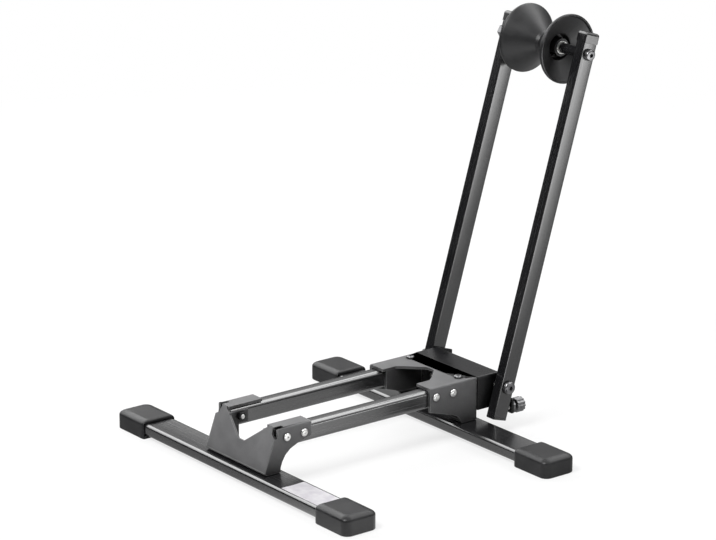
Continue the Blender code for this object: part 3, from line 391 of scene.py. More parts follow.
# %% Coated sheet
def coated(name, dark, light, edge_wear_and_highlight, low, high, ior=1.5):
    made = new_finish(name, light, high, ior=ior)
    cloud = noise(made, 60.0, 4.0)
    # Painted shade: the coat's tone is darkened where other faces close in on it.
    tone = painted_recess_shade(made, two_tones(made, cloud, dark, light), 0.070, 0.05)
    spread(made, cloud, low, high)
    # Paler edges on the coat: partly wear, partly a painted highlight.
    worn_and_highlit_edges(made, tone, edge_wear_and_highlight, 0.0009, 0.7)
    relief(made, noise(made, 900.0, 2.0), 0.00003)
    return made


powder = coated("black powder coat", (0.136, 0.136, 0.139), (0.164, 0.164, 0.167),
                (0.270, 0.270, 0.272), 0.38, 0.50)
# Painted shade: this coat's very dark tone stands partly for the shade that the uprights cast
# on the hinge bracket.
shade_darkened_coat = coated("shade darkened black glossy coat", (0.005, 0.005, 0.006), (0.009, 0.009, 0.010),
                     (0.060, 0.060, 0.062), 0.24, 0.36, 1.36)
print("coats:", powder.name, "and", shade_darkened_coat.name)

# %% [markdown]
# The other finishes differ only in their numbers, so one function makes them all.
# Feet are moulded plastic with a fine grain from the mould. Caps and spacers are
# smoother, and the roller shows lines from turning. Screws, bolts and the knob are
# plated steel, bright or grey. The bushes are white nylon, and the label is paper.


# %% Plastic, plate, nylon and paper
def grained(made, cloud, grain, dark, light, low, high, height):
    """Two tones and a roughness from one noise, and a bump from another."""
    spread(made, cloud, low, high)
    connect(made, two_tones(made, cloud, dark, light), "Base Color")
    relief(made, grain, height)
    return made


def plastic(name, dark, light, low, high, ior, grain, height):
    made = new_finish(name, light, high, ior=ior)
    return grained(made, noise(made, 45.0, 3.0), noise(made, grain, 3.0),
                   dark, light, low, high, height)


def plated(name, dark, light, low, high):
    made = new_finish(name, light, high, metallic=1.0)
    cloud = noise(made, 260.0, 4.0)
    return grained(made, cloud, cloud, dark, light, low, high, 0.00002)


moulded = plastic("black moulded plastic", (0.013, 0.013, 0.014), (0.021, 0.021, 0.022),
                  0.32, 0.42, 1.38, 1800.0, 0.00004)
smooth_plastic = plastic("smooth black plastic", (0.008, 0.008, 0.009),
                         (0.014, 0.014, 0.015), 0.22, 0.30, 1.9, 1200.0, 0.00001)

roller_plastic = new_finish("roller plastic", (0.016, 0.016, 0.017), 0.42)
grained(roller_plastic, noise(roller_plastic, 70.0, 4.0),
        noise(roller_plastic, 1.0, 2.0, (1500.0, 30.0, 30.0)),
        (0.010, 0.010, 0.011), (0.017, 0.017, 0.018), 0.36, 0.50, 0.00001)

zinc = plated("zinc plated steel", (0.72, 0.72, 0.71), (0.86, 0.86, 0.85), 0.26, 0.42)
grey_plate = plated("grey plated steel", (0.14, 0.14, 0.145), (0.26, 0.26, 0.265), 0.24, 0.40)
knob_plate = plated("rough grey plate", (0.16, 0.16, 0.165), (0.26, 0.26, 0.265), 0.42, 0.54)
black_plate = plated("black plated steel", (0.030, 0.030, 0.031), (0.060, 0.060, 0.062),
                     0.28, 0.45)

nylon = new_finish("white nylon", (0.74, 0.74, 0.71), 0.42)
nylon_cloud = noise(nylon, 300.0, 3.0)
connect(nylon, two_tones(nylon, nylon_cloud, (0.70, 0.70, 0.66), (0.78, 0.78, 0.75)),
        "Base Color")
relief(nylon, nylon_cloud, 0.00002)

label_paper = new_finish("blank label", (0.66, 0.64, 0.67), 0.34)
connect(label_paper, two_tones(label_paper, noise(label_paper, 90.0, 3.0),
                               (0.56, 0.54, 0.58), (0.70, 0.69, 0.71)), "Base Color")
print("finishes:", sorted(m.name for m in bpy.data.materials if m.use_nodes))

# %% [markdown]
# ## Making a piece
#
# Every new piece ends the same way. Its faces are turned outwards, curved parts are
# shaded smooth while real edges stay sharp, and the piece is told which body of the
# model it rides on and which solid it stands for. The other helpers here round
# edges, push faces out or in, and put a finished shape in its place.


# %% Piece helpers
SIDES = (("left", -1), ("right", 1))


def make_piece(name, bm, look, body, solids, sharp=38):
    bmesh.ops.remove_doubles(bm, verts=bm.verts, dist=1e-6)
    bmesh.ops.recalc_face_normals(bm, faces=bm.faces)
    mesh = bpy.data.meshes.new(name)
    bm.to_mesh(mesh)
    bm.free()
    mesh.materials.append(look)
    mesh.shade_smooth()
    mesh.set_sharp_from_angle(angle=math.radians(sharp))
    piece = bpy.data.objects.new(name, mesh)
    bpy.context.scene.collection.objects.link(piece)
    even = piece.modifiers.new("even faces", "WEIGHTED_NORMAL")
    even.keep_sharp = True
    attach(piece, body)
    if solids:
        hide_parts(*solids)
    return piece


def rounded(bm, geom, offset, segments, affect="EDGES", clamp=False):
    return bmesh.ops.bevel(bm, geom=geom, offset=offset, offset_type="OFFSET",
                           segments=segments, profile=0.5, affect=affect,
                           clamp_overlap=clamp, material=-1)


def rounded_face(bm, half_u, half_v, corner, segments=5):
    """A flat face in the XY plane with round corners."""
    bmesh.ops.create_grid(bm, x_segments=1, y_segments=1, size=1.0)
    bmesh.ops.scale(bm, verts=bm.verts, vec=(half_u, half_v, 1.0))
    rounded(bm, bm.verts[:], corner, segments, "VERTICES")


def pushed(bm, faces, move, hollow=False):
    """Extrudes faces. A hollow push leaves no face where they were."""
    grown = bmesh.ops.extrude_face_region(bm, geom=faces)["geom"]
    verts = [item for item in grown if isinstance(item, bmesh.types.BMVert)]
    bmesh.ops.translate(bm, verts=verts, vec=move)
    left = [face for face in faces if hollow and face.is_valid]
    bmesh.ops.delete(bm, geom=left, context="FACES_ONLY")
    return [item for item in grown if isinstance(item, bmesh.types.BMFace)]


def placed(bm, matrix):
    bmesh.ops.transform(bm, verts=bm.verts, matrix=matrix)
    return bm


def sunk(depth, across):
    """How far a face lies in: crowned above zero, dished below it."""
    return depth * across ** 2 if depth > 0 else -depth * (1 - across ** 2)


def open_tube(half_u, half_v, corner, crown, wall, start, end, segments=5):
    """A tube along Z with round corners, faintly curved faces and open ends."""
    bm = bmesh.new()
    rounded_face(bm, half_u, half_v, corner, segments)
    flats = [edge for edge in bm.edges if edge.calc_length() > 0.5 * corner]
    bmesh.ops.subdivide_edges(bm, edges=flats, cuts=6)
    for vert in bm.verts:
        u, v = vert.co.x / half_u, vert.co.y / half_v
        vert.co.x -= u * sunk(crown[0], v)
        vert.co.y -= v * sunk(crown[1], u)
    pushed(bm, bm.faces[:], (0.0, 0.0, end - start))
    bmesh.ops.translate(bm, verts=bm.verts, vec=(0.0, 0.0, start))
    bm.normal_update()
    ends = [face for face in bm.faces if abs(face.normal.z) > 0.9]
    bmesh.ops.inset_individual(bm, faces=ends, thickness=wall, depth=0.0)
    bmesh.ops.delete(bm, geom=ends, context="FACES_ONLY")
    rims = [edge for edge in bm.edges if edge.is_boundary]
    bmesh.ops.bridge_loops(bm, edges=rims)
    return bm


print("helpers ready for", len(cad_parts), "solids")

# %% [markdown]
# ## Bars and rails
#
# The cross bars and rails are rectangular tubes. Their long edges are not sharp:
# the die rounds them, and that round edge is what draws the bright line along each
# bar in the picture. Their faces are not quite flat either. The rails stand out by
# less than half a millimetre in the middle and the tops of the bars are as faintly
# dished, which lets one face go from dark to light across its width. A tube is one
# rounded face, its sides cut and curved, pushed along its length. Its two ends are
# inset and joined to make the wall.

# %% Bars
ALONG_X = Matrix(((0, 0, 1, 0), (1, 0, 0, 0), (0, 1, 0, 0), (0, 0, 0, 1)))
ALONG_Y = Matrix(((1, 0, 0, 0), (0, 0, 1, 0), (0, -1, 0, 0), (0, 0, 0, 1)))
FIT = 0.0003
BAR_WALL = 0.0018
BAR_EDGE = 0.0034
BAR_CROWN = (0.0005, -0.0006)

for end in ("front", "rear"):
    low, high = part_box(end + "_bar")
    middle = centre(end + "_bar")
    bar = open_tube((high.y - low.y) / 2, (high.z - low.z) / 2, BAR_EDGE, BAR_CROWN,
                    BAR_WALL, low.x, high.x, 7)
    placed(bar, Matrix.Translation((0.0, middle.y, middle.z)) @ ALONG_X)
    piece = make_piece(end + "_bar_tube", bar, bar_finish, "base", [end + "_bar"],
                       50)
    print(piece.name, len(piece.data.polygons), "faces")

# %% Rails
RAIL_WALL = 0.0016
RAIL_EDGE = 0.0042
RAIL_CROWN = (-0.0002, 0.00045)

for side, sign in SIDES:
    low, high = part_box("rail_" + side)
    middle = centre("rail_" + side)
    rail = open_tube((high.x - low.x) / 2, (high.z - low.z) / 2, RAIL_EDGE, RAIL_CROWN,
                     RAIL_WALL, low.y, high.y, 7)
    placed(rail, Matrix.Translation((middle.x, 0.0, middle.z)) @ ALONG_Y)
    piece = make_piece("rail_tube_" + side, rail, rail_finish, "base", ["rail_" + side],
                       50)
    print(piece.name, len(piece.data.polygons), "faces")

# %% [markdown]
# ## Feet
#
# A moulded foot closes each end of a bar and keeps it off the floor. Its top is a
# low pillow that falls away to the sides and to the free end, so that it sheds the
# light softly. The foot is made of level outlines, one above the other, each a
# rounded rectangle that is a little smaller than the last, the way a quarter circle
# is stepped. Neighbouring outlines are joined. The flat inner end becomes one face,
# its outline is drawn in to the section of the bar and then pushed into the foot,
# which makes the pocket that the bar sits in.

# %% Feet
FOOT_CORNER = 0.0085
INNER_CORNER = 0.00125
INNER_STRETCH = 3.4
INNER_FALL = 0.0035
SOLE_STEP = 0.0008
DOME_WIDTH = 0.0090
DOME_SHARE = 0.26
DOME_STEPS = 8
LEVEL_STEPS = 2


def foot_outline(bm, low, high, inner_x, sign, inset, inner_inset, z):
    """One level outline of a foot, as a face."""
    length = high.x - low.x - inset - inner_inset
    half = (high.y - low.y) / 2 - inset
    verts = bmesh.ops.create_grid(bm, x_segments=1, y_segments=1, size=0.5)["verts"]
    bmesh.ops.scale(bm, verts=verts, vec=(length, 2 * half, 1.0))
    bmesh.ops.translate(bm, verts=verts, vec=(
        inner_x + sign * (inner_inset + length / 2), (low.y + high.y) / 2, z))
    free = [vert for vert in verts if (vert.co.x - inner_x) * sign > length / 2]
    inner = [vert for vert in verts if vert not in free]
    rounded(bm, free, FOOT_CORNER - 0.5 * inset, 8, "VERTICES")
    start = inner_x + sign * inner_inset
    for vert in rounded(bm, inner, INNER_CORNER, 4, "VERTICES")["verts"]:
        vert.co.x = start + (vert.co.x - start) * INNER_STRETCH


def foot(name, node, bar_node, sign):
    low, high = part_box(node)
    bar_low, bar_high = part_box(bar_node)
    inner_x = low.x if sign > 0 else high.x
    dome = DOME_SHARE * (high.z - low.z)
    levels = [(low.z, SOLE_STEP, 0.0), (low.z + SOLE_STEP, 0.0, 0.0)]
    for k in range(DOME_STEPS + 1):
        angle = math.radians(90 * k / DOME_STEPS)
        rest = max(0.0, (k - LEVEL_STEPS) / (DOME_STEPS - LEVEL_STEPS))
        levels.append((high.z - dome * (1 - math.sin(angle)),
                       DOME_WIDTH * (1 - math.cos(angle)), INNER_FALL * rest ** 2))
    bm = bmesh.new()
    for z, inset, inner_inset in levels:
        foot_outline(bm, low, high, inner_x, sign, inset, inner_inset, z)
    sheets = sorted(bm.faces, key=lambda face: face.calc_center_median().z)
    loops = [list(level.edges) for level in sheets]
    bmesh.ops.delete(bm, geom=sheets[1:-1], context="FACES_ONLY")
    for lower, upper in zip(loops, loops[1:]):
        bmesh.ops.bridge_loops(bm, edges=lower + upper)
    mouth = [face for face in bm.faces
             if all(abs(vert.co.x - inner_x) < 1e-7 for vert in face.verts)]
    mouth = bmesh.ops.dissolve_faces(bm, faces=mouth, use_verts=True)["region"][0]
    bmesh.ops.recalc_face_normals(bm, faces=bm.faces)
    bmesh.ops.inset_individual(bm, faces=[mouth], thickness=0.00005)
    for vert in mouth.verts:
        vert.co.y = min(max(vert.co.y, bar_low.y - FIT), bar_high.y + FIT)
        vert.co.z = min(max(vert.co.z, bar_low.z - FIT), bar_high.z + FIT / 2)
    reach = (bar_high.x if sign > 0 else bar_low.x) + sign * FIT - inner_x
    pushed(bm, [mouth], (reach, 0.0, 0.0), hollow=True)
    return make_piece(name, bm, moulded, "base", [node], 42)


for end in ("front", "rear"):
    for side, sign in SIDES:
        piece = foot(f"foot_{end}_{side}", f"end_cap_{end}_{side}", end + "_bar", sign)
        print(piece.name, len(piece.data.polygons), "faces")

# %% [markdown]
# ## Folded brackets
#
# The front bracket, the saddle and the hinge bracket are cut from 3 mm sheet,
# folded and coated. The solids already have their flat shape, their folds and
# holes. Drawing them again would risk moving a hole, so a copy of each solid is
# used. Coated sheet has no sharp edge: the copy has its loose triangles merged into
# whole faces, and every edge is rounded a little. The two
# long folds at the sides of a bracket have the larger radius of the bending tool,
# and that round is what shines as a thin line. The bend at the foot of the front web
# is drawn in below, so that a dark line parts the web from the bar.

# %% Brackets
SHEET_EDGE = 0.00045
FOLD_ROUND = 0.0022
FOLD_OUT = 0.047           # a fold lies further out than this
FOLD_UP = 0.060            # and higher than this
FOLD_LENGTH = 0.008        # and is longer than this
WEB_TUCK = 0.0028
TUCK_ZONE = 0.0012


def is_fold(edge):
    """Whether an edge is one of the long top folds at the side of a bracket."""
    first, second = (vert.co for vert in edge.verts)
    return (min(abs(first.x), abs(second.x)) > FOLD_OUT
            and min(first.z, second.z) > FOLD_UP
            and abs(first.y - second.y) > FOLD_LENGTH
            and abs(first.x - second.x) < 0.0001
            and len(edge.link_faces) == 2 and edge.calc_face_angle(0.0) > 1.2)


def rounded_copy(name, node, look, edge, segments=2, corner=28, fold=0.0, tuck=0.0):
    """A copy of a solid of the base with whole faces and rounded edges."""
    bm = bmesh.new()
    bm.from_mesh(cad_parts[node].data)
    bmesh.ops.remove_doubles(bm, verts=bm.verts, dist=2e-6)
    bmesh.ops.dissolve_limit(bm, angle_limit=math.radians(1.0), verts=bm.verts,
                             edges=bm.edges, use_dissolve_boundaries=False)
    bmesh.ops.dissolve_degenerate(bm, dist=1e-6, edges=bm.edges)
    if tuck:
        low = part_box(node)[0]
        for vert in bm.verts:
            if vert.co.z < low.z + TUCK_ZONE and vert.co.y < low.y + TUCK_ZONE:
                vert.co.y += tuck
    bm.normal_update()
    if fold:
        folds = [item for item in bm.edges if is_fold(item)]
        print(node, "folds:", len(folds))
        rounded(bm, folds, fold, 5)
        bm.normal_update()
    sharp = [item for item in bm.edges
             if len(item.link_faces) == 2
             and item.calc_face_angle(0.0) > math.radians(corner)]
    rounded(bm, sharp, edge, segments, clamp=True)
    return make_piece(name, bm, look, "base", [node])


for node, coat, tuck in (("front_bracket", powder, WEB_TUCK), ("rear_saddle", powder, 0.0),
                         ("hinge_bracket", shade_darkened_coat, 0.0)):
    piece = rounded_copy(node + "_sheet", node, coat, SHEET_EDGE,
                         fold=FOLD_ROUND, tuck=tuck)
    print(piece.name, len(piece.data.polygons), "faces")

# %% [markdown]
# ## Uprights and their caps
#
# The uprights are the same kind of tube as the rails. Drawing them along their real
# lean would need slanted sections, so they are drawn upright at the pivot and then
# leaned back with the arm.

# %% Uprights
UPRIGHT_HALF_X = 0.0065
UPRIGHT_HALF_Y = 0.0095
UPRIGHT_WALL = 0.0015
UPRIGHT_EDGE = 0.0015
UPRIGHT_CROWN = (0.00035, 0.00012)
UPRIGHT_BELOW = 0.0335
UPRIGHT_ABOVE = 0.0115

arm_length = (axle - pivot).length
arm_place = Matrix.Translation(pivot) @ Matrix.Rotation(-lean, 4, "X")
tube_top = arm_length + UPRIGHT_ABOVE

for side, sign in SIDES:
    across = centre("upright_" + side).x
    tube = open_tube(UPRIGHT_HALF_X, UPRIGHT_HALF_Y, UPRIGHT_EDGE, UPRIGHT_CROWN,
                     UPRIGHT_WALL, -UPRIGHT_BELOW, tube_top)
    placed(tube, arm_place @ Matrix.Translation((across, 0.0, 0.0)))
    piece = make_piece("upright_tube_" + side, tube, upright_finish, "arm",
                       ["upright_" + side], 50)
    print(piece.name, "height", round(tube_top + UPRIGHT_BELOW, 4))

# %% [markdown]
# A moulded cap closes the top of each tube and a thin plug its foot. Both have a
# spigot that grips inside the tube, so one function makes them, and the plug is the
# same shape turned over.

# %% Caps of the uprights
CAP_HEIGHT = 0.0112
CAP_LIP = 0.0005
CAP_ROUND = 0.0030
CAP_CORNER = 0.0020
PLUG_HEIGHT = 0.0024
PLUG_ROUND = 0.0012
SPIGOT = 0.006


def tube_cap(name, node, height, lip, rounding, seat, direction):
    """A rounded cap with a spigot that goes into the tube."""
    across = centre(node).x
    bm = bmesh.new()
    rounded_face(bm, UPRIGHT_HALF_X + lip, UPRIGHT_HALF_Y + lip, CAP_CORNER)
    top = pushed(bm, bm.faces[:], (0.0, 0.0, height))
    rounded(bm, list(top[0].edges), rounding, 6)
    bm.normal_update()
    base = next(face for face in bm.faces if all(abs(v.co.z) < 1e-6 for v in face.verts))
    bmesh.ops.inset_individual(bm, faces=[base], thickness=lip + UPRIGHT_WALL + FIT, depth=0.0)
    pushed(bm, [base], (0.0, 0.0, -SPIGOT), hollow=True)
    flip = Matrix.Diagonal((1.0, 1.0, direction, 1.0))
    placed(bm, arm_place @ Matrix.Translation((across, 0.0, seat + direction * FIT)) @ flip)
    return make_piece(name, bm, smooth_plastic, "arm", [node], 42)


for side, sign in SIDES:
    tube_cap("top_cap_" + side, "upright_top_cap_" + side, CAP_HEIGHT, CAP_LIP, CAP_ROUND,
             tube_top, 1)
    tube_cap("bottom_plug_" + side, "upright_bottom_plug_" + side, PLUG_HEIGHT, 0.0,
             PLUG_ROUND, -UPRIGHT_BELOW, -1)
print("caps on", tube_top, "and", -UPRIGHT_BELOW)

# %% [markdown]
# ## Turned pieces
#
# The roller, its hub and spacers, the bushes, screws and rivets are all turned: a
# half section is drawn once and spun about its axis. The corners of the section are
# rounded first, so that every turned edge catches the light.


# %% Turning helpers
X_AXIS = (1.0, 0.0, 0.0)
Y_AXIS = (0.0, 1.0, 0.0)


def turned(section, steps, corner=0.0, closed=False, segments=3):
    """Spins points of (place along Z, radius) about Z."""
    bm = bmesh.new()
    verts = [bm.verts.new((radius, 0.0, along)) for along, radius in section]
    if closed:
        bm.faces.new(verts)
    else:
        for first, second in zip(verts, verts[1:]):
            bm.edges.new((first, second))
    if corner:
        corners = [v for v in bm.verts if v.co.x > 1e-6 and len(v.link_edges) == 2]
        rounded(bm, corners, corner, segments, "VERTICES")
    if closed:
        bmesh.ops.delete(bm, geom=bm.faces[:], context="FACES_ONLY")
    bmesh.ops.spin(bm, geom=bm.verts[:] + bm.edges[:], cent=(0.0, 0.0, 0.0),
                   axis=(0.0, 0.0, 1.0), angle=2 * math.pi, steps=steps,
                   use_merge=True, use_duplicate=False)
    bmesh.ops.remove_doubles(bm, verts=bm.verts, dist=1e-7)
    return bm


def toward(direction, place):
    """A matrix that turns Z to a direction and moves to a place."""
    turn = Vector((0.0, 0.0, 1.0)).rotation_difference(Vector(direction))
    return Matrix.Translation(place) @ turn.to_matrix().to_4x4()


print("turning helpers ready")

# %% [markdown]
# The roller is two equal cones that meet at the middle, where the tyre runs in the
# groove. Each cone is dished outside, round a boss that takes the bush, which saves
# plastic. Its whole section, dish and rim included, is one closed line of points.

# %% Roller
CONE_SECTION = (
    (0.00015, 0.0075), (0.00015, 0.0115), (0.0040, 0.0131), (0.0288, 0.0351),
    (0.0309, 0.0369), (0.0321, 0.0373), (0.0339, 0.0373), (0.0347, 0.0365),
    (0.0347, 0.0351), (0.0322, 0.0343), (0.0220, 0.0160), (0.0210, 0.0142),
    (0.0120, 0.0134), (0.0120, 0.0106), (0.0242, 0.0098), (0.0242, 0.0075),
)

for side, sign in SIDES:
    cone = placed(turned(CONE_SECTION, 96, 0.0005, True, 2), toward((sign, 0.0, 0.0), axle))
    piece = make_piece("roller_half_" + side, cone, roller_plastic, "roller",
                       ["roller_cone_" + side], 32)
    print(piece.name, len(piece.data.polygons), "faces")

# %% [markdown]
# A sleeve round the pivot bolt keeps the uprights apart, a thin tube joins the two
# cones, and short bushes and spacers sit on the axle. They are all plain rings, so
# one function reads their size from the solid and turns them.

# %% Sleeves, spacers and bushes
BOLT_BORE = 0.0043
HUB_BORE = 0.0062
SLEEVE_EDGE = 0.0004
BUSH_EDGE = 0.0003


def sleeve(name, node, bore, look, body, corner=SLEEVE_EDGE):
    low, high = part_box(node)
    radius = (high.z - low.z) / 2
    half = (high.x - low.x) / 2
    bm = turned(((-half, bore), (-half, radius), (half, radius), (half, bore)),
                64, corner, True)
    placed(bm, toward(X_AXIS, centre(node)))
    return make_piece(name, bm, look, body, [node], 32)


sleeve("hub_tube", "roller_hub", HUB_BORE, zinc, "roller")
sleeve("pivot_tube", "pivot_sleeve", BOLT_BORE, zinc, "arm")
for side, sign in SIDES:
    sleeve("axle_spacer_tube_" + side, "axle_spacer_" + side, BOLT_BORE, smooth_plastic,
           "arm")
    sleeve("roller_bush_ring_" + side, "roller_bush_" + side, BOLT_BORE, nylon, "roller",
           BUSH_EDGE)
for side, sign in SIDES:
    rounded_copy("pivot_bush_ring_" + side, "pivot_bush_" + side, nylon,
                 0.0002, 1, 50)
print("sleeves and bushes done")

# %% [markdown]
# ## Bolts, nuts, screws and rivets
#
# The long bolts have low button heads with a hexagon socket. The socket is a small
# hexagon that is pushed into the head, and its rim is joined to the turned dome.
# Nuts are hexagons with a bored middle. Blind rivets have a domed head with the
# broken stem showing in the middle.


# %% Heads and nuts
def button_screw(head_radius, head_height, shank, length, socket, depth):
    """A button head above Z = 0 and a shank below, with a hexagon socket."""
    rim = 1.28 * socket
    section = [(head_height, rim), (head_height - 0.0001, 1.5 * rim)]
    for k in range(1, 7):
        angle = math.radians(15 * k)
        section.append((head_height * (0.30 + 0.66 * math.cos(angle)),
                        1.5 * rim + (head_radius - 1.5 * rim) * math.sin(angle)))
    section += [(0.0, head_radius), (0.0, shank), (-length + 0.0006, shank),
                (-length, shank - 0.0006), (-length, 0.0)]
    bm = turned(section, 40)
    hexagon = bmesh.ops.create_circle(bm, cap_ends=True, segments=6, radius=socket)
    bmesh.ops.translate(bm, verts=hexagon["verts"], vec=(0.0, 0.0, head_height))
    socket_face = next(face for face in bm.faces if len(face.verts) == 6)
    pushed(bm, [socket_face], (0.0, 0.0, -depth), hollow=True)
    bmesh.ops.bridge_loops(bm, edges=[edge for edge in bm.edges if edge.is_boundary])
    return bm


def nut(radius, height, bore):
    """A hexagon nut above Z = 0."""
    bm = bmesh.new()
    bmesh.ops.create_circle(bm, cap_ends=True, segments=6, radius=radius)
    pushed(bm, bm.faces[:], (0.0, 0.0, height))
    bm.normal_update()
    ends = [face for face in bm.faces if abs(face.normal.z) > 0.9]
    rims = [edge for face in ends for edge in face.edges]
    bmesh.ops.delete(bm, geom=ends, context="FACES_ONLY")
    for z in (0.0, height):
        ring = bmesh.ops.create_circle(bm, cap_ends=False, segments=36, radius=bore)
        bmesh.ops.translate(bm, verts=ring["verts"], vec=(0.0, 0.0, z))
        loop = [edge for edge in bm.edges if edge.is_wire]
        outer = [edge for edge in rims
                 if edge.is_valid and all(abs(v.co.z - z) < 1e-7 for v in edge.verts)]
        bmesh.ops.bridge_loops(bm, edges=loop + outer)
    bmesh.ops.bridge_loops(bm, edges=[edge for edge in bm.edges if edge.is_boundary])
    outside = [edge for edge in bm.edges
               if all(v.co.xy.length > 0.9 * radius for v in edge.verts)]
    rounded(bm, outside, 0.0003, 2)
    return bm


def fastener(name, bm, look, node, direction, place, sharp, body="base"):
    """A turned or hexagonal piece, set along a direction."""
    return make_piece(name, placed(bm, toward(direction, place)), look, body, [node],
                      sharp)


print("bolt helpers ready")

# %% Long bolts
BOLT_RADIUS = 0.0040
HEAD_HEIGHT = 0.0048
NUT_RADIUS = 0.0074

for name, place, radius in (("pivot", pivot, 0.0072), ("axle", axle, 0.0062)):
    low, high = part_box(name + "_bolt")
    seat = high.x - HEAD_HEIGHT
    bolt = button_screw(radius, HEAD_HEIGHT, BOLT_RADIUS, seat - low.x, 0.0026, 0.0026)
    fastener(name + "_button_bolt", bolt, grey_plate, name + "_bolt", X_AXIS,
             (seat, place.y, place.z), 40, "arm")
    low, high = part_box(name + "_nut")
    fastener(name + "_lock_nut", nut(NUT_RADIUS, high.x - low.x, BOLT_RADIUS + FIT),
             grey_plate, name + "_nut", X_AXIS, (low.x, place.y, place.z), 25, "arm")

# %% Small screws
SCREW_HEAD = 0.0024
SIDE_HEAD = 0.0017
SIDE_NUT_HEIGHT = 0.0038


def side_bolt(length):
    """A bolt of a folded bracket, of this length over all."""
    return button_screw(0.0042, SIDE_HEAD, 0.0025, length - SIDE_HEAD, 0.0014, 0.0010)


for side, sign in SIDES:
    for node in ("front_foot_screw_", "rear_foot_screw_", "saddle_screw_"):
        low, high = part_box(node + side)
        spot = centre(node + side)
        seat = high.z - SCREW_HEAD
        bm = button_screw(0.0044, SCREW_HEAD, 0.0024, seat - low.z, 0.0015, 0.0014)
        bmesh.ops.translate(bm, verts=bm.verts, vec=(spot.x, spot.y, seat))
        make_piece(node + "head_" + side, bm, grey_plate, "base", [node + side],
                   40)
    low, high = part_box("front_bolt_" + side)
    spot = centre("front_bolt_" + side)
    seat = (high.x if sign > 0 else low.x) - sign * SIDE_HEAD
    fastener("front_bolt_head_" + side, side_bolt(high.x - low.x), zinc,
             "front_bolt_" + side, (sign, 0.0, 0.0), (seat, spot.y, spot.z), 40)
    low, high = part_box("hinge_bolt_" + side)
    spot = centre("hinge_bolt_" + side)
    fastener("hinge_bolt_head_" + side, side_bolt(high.y - low.y), zinc,
             "hinge_bolt_" + side, (0.0, -1.0, 0.0), (spot.x, low.y + SIDE_HEAD, spot.z), 40)
    for node, axis in (("front_nut_", X_AXIS), ("hinge_nut_", Y_AXIS)):
        spot = centre(node + side) - Vector(axis) * SIDE_NUT_HEIGHT / 2
        fastener(node + "hex_" + side, nut(0.0046, SIDE_NUT_HEIGHT, 0.0028), black_plate,
                 node + side, axis, spot, 25)
print("small screws done")

# %% Rivets
RIVET_SECTION = (
    (0.0011, 0.0), (0.0011, 0.0009), (0.0008, 0.0011), (0.0016, 0.0013),
    (0.0017, 0.0018), (0.0015, 0.0028), (0.0010, 0.0037), (0.0004, 0.0042),
    (0.0, 0.0042), (0.0, 0.0024), (-0.0090, 0.0024), (-0.0092, 0.0),
)

for side, sign in SIDES:
    for place in ("front", "middle", "rear"):
        node = f"rivet_{place}_{side}"
        low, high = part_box(node)
        spot = centre(node)
        seat = (high.x if sign > 0 else low.x) - sign * SIDE_HEAD
        fastener(f"rivet_head_{place}_{side}", turned(RIVET_SECTION, 32), zinc, node,
                 (sign, 0.0, 0.0), (seat, spot.y, spot.z), 40)
print("rivets:", 6)

# %% [markdown]
# ## Spring and stop screw
#
# A torsion spring is wound round the pivot sleeve and pushes the arm against the
# wheel. A wire is easiest as a curve with a round section: its points wind round the
# sleeve and end in a straight leg under the hinge bracket. The stop screw behind the
# right upright has a lobed knob for fingers, and a thread that a zigzag section
# draws when it is turned.

# %% Torsion spring
WIRE_RADIUS = 0.0011
COIL_RADIUS = 0.0077
COIL_PITCH = 0.0029
COIL_TURNS = 8
TURN_STEPS = 24

spring_low, spring_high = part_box("torsion_spring")
start_x = -COIL_TURNS * COIL_PITCH / 2
leg_end = spring_low.y
leg_height = spring_high.z - WIRE_RADIUS
wire_points = [
    Vector((start_x, leg_end + 0.0002, leg_height)),
    Vector((start_x, leg_end + 0.3 * (pivot.y - leg_end), leg_height)),
]
for k in range(COIL_TURNS * TURN_STEPS + 1):
    angle = 2 * math.pi * k / TURN_STEPS
    wire_points.append(pivot + Vector((start_x + COIL_PITCH * k / TURN_STEPS,
                                       COIL_RADIUS * math.sin(angle),
                                       COIL_RADIUS * math.cos(angle))))
wire_points.append(pivot + Vector((-start_x, 0.006, COIL_RADIUS)))

wire = bpy.data.curves.new("spring_wire", "CURVE")
wire.dimensions = "3D"
wire.bevel_depth = WIRE_RADIUS
wire.bevel_resolution = 4
wire.use_fill_caps = True
line = wire.splines.new("POLY")
line.points.add(len(wire_points) - 1)
for point, spot in zip(line.points, wire_points):
    point.co = (*spot, 1.0)
wire.materials.append(zinc)
spring = bpy.data.objects.new("spring_wire", wire)
bpy.context.scene.collection.objects.link(spring)
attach(spring, "base")
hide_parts("torsion_spring")
print("spring points:", len(wire_points))

# %% Stop screw and lock nut
THREAD_PITCH = 0.0010
THREAD_DEPTH = 0.0005
STOP_RADIUS = 0.0030
STOP_NUT_RADIUS = 0.0062

low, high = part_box("stop_screw")
stop_axis = centre("stop_screw")
thread = [(0.0, 0.0), (0.0, 0.6 * STOP_RADIUS), (0.0012, STOP_RADIUS)]
along = 0.0018
while along < high.y - low.y - THREAD_PITCH:
    thread += [(along, STOP_RADIUS - THREAD_DEPTH), (along + THREAD_PITCH / 2, STOP_RADIUS)]
    along += THREAD_PITCH
thread += [(high.y - low.y, STOP_RADIUS), (high.y - low.y, 0.0)]
fastener("stop_screw_thread", turned(thread, 32), zinc, "stop_screw", Y_AXIS,
         (stop_axis.x, low.y, stop_axis.z), 25, "stop_screw")

low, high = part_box("stop_nut")
fastener("stop_lock_nut", nut(STOP_NUT_RADIUS, high.y - low.y, STOP_RADIUS + FIT),
         grey_plate, "stop_nut", Y_AXIS, (stop_axis.x, low.y, stop_axis.z), 25)
print("thread points:", len(thread))

# %% Knob
KNOB_RADIUS = 0.0082
KNOB_LOBES = 12
LOBE_DEPTH = 0.0004
KNOB_EDGE = 0.0008

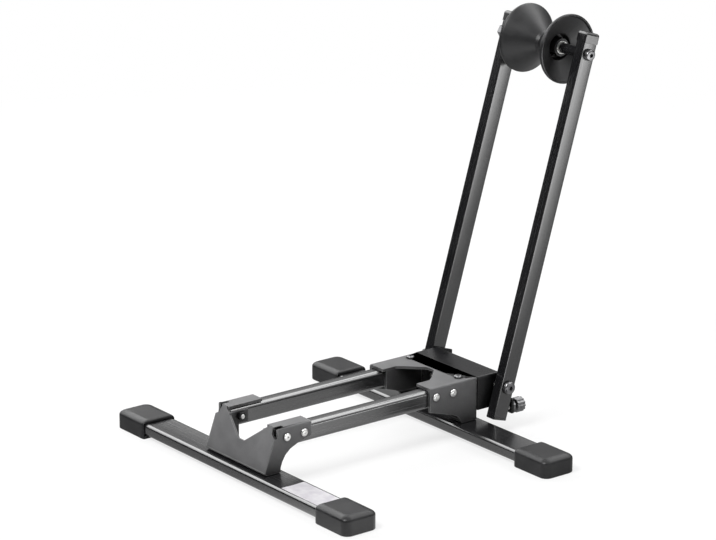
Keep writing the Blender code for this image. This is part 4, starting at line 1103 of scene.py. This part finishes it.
low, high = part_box("stop_knob")
bm = bmesh.new()
bmesh.ops.create_circle(bm, cap_ends=True, segments=KNOB_LOBES * 8, radius=KNOB_RADIUS)
for vert in bm.verts:
    angle = math.atan2(vert.co.y, vert.co.x)
    dip = LOBE_DEPTH * (1 - math.cos(KNOB_LOBES * angle))
    vert.co *= (KNOB_RADIUS - dip) / KNOB_RADIUS
top = pushed(bm, bm.faces[:], (0.0, 0.0, high.y - low.y))
base = [face for face in bm.faces if all(abs(v.co.z) < 1e-7 for v in face.verts)]
rounded(bm, list(top[0].edges) + list(base[0].edges), KNOB_EDGE, 4)
knob = fastener("knob_grip", bm, knob_plate, "stop_knob", Y_AXIS,
                (stop_axis.x, low.y, stop_axis.z), 45, "stop_knob")
print(knob.name, len(knob.data.polygons), "faces")

# %% [markdown]
# ## Label
#
# The front bar carries a plain pale label on its top, beside the right foot. It is
# left blank: a thin sheet with round corners that lies on the bar.

# %% Label
LABEL_START = 0.086
LABEL_END = 0.1495
LABEL_HALF_DEPTH = 0.0144
LABEL_CORNER = 0.0015
LABEL_THICK = 0.00012
LABEL_LIFT = 0.00002

low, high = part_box("front_bar")
bm = bmesh.new()
rounded_face(bm, (LABEL_END - LABEL_START) / 2, LABEL_HALF_DEPTH, LABEL_CORNER)
pushed(bm, bm.faces[:], (0.0, 0.0, LABEL_THICK))
for k in range(-4, 5):
    bmesh.ops.bisect_plane(bm, geom=bm.verts[:] + bm.edges[:] + bm.faces[:],
                           plane_co=(0.0, k * LABEL_HALF_DEPTH / 4.5, 0.0),
                           plane_no=Y_AXIS)
for vert in bm.verts:
    vert.co.z -= sunk(BAR_CROWN[1], vert.co.y / ((high.y - low.y) / 2))
bmesh.ops.translate(bm, verts=bm.verts, vec=(
    (LABEL_START + LABEL_END) / 2, (low.y + high.y) / 2, high.z + LABEL_LIFT))
label = make_piece("blank_label", bm, label_paper, "base", [])
print("label", round(LABEL_END - LABEL_START, 4), "m long")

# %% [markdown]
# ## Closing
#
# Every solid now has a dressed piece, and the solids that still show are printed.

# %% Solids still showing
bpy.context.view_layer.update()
shown = [name for name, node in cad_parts.items() if not node.hide_render]
print("solids still showing:", shown)
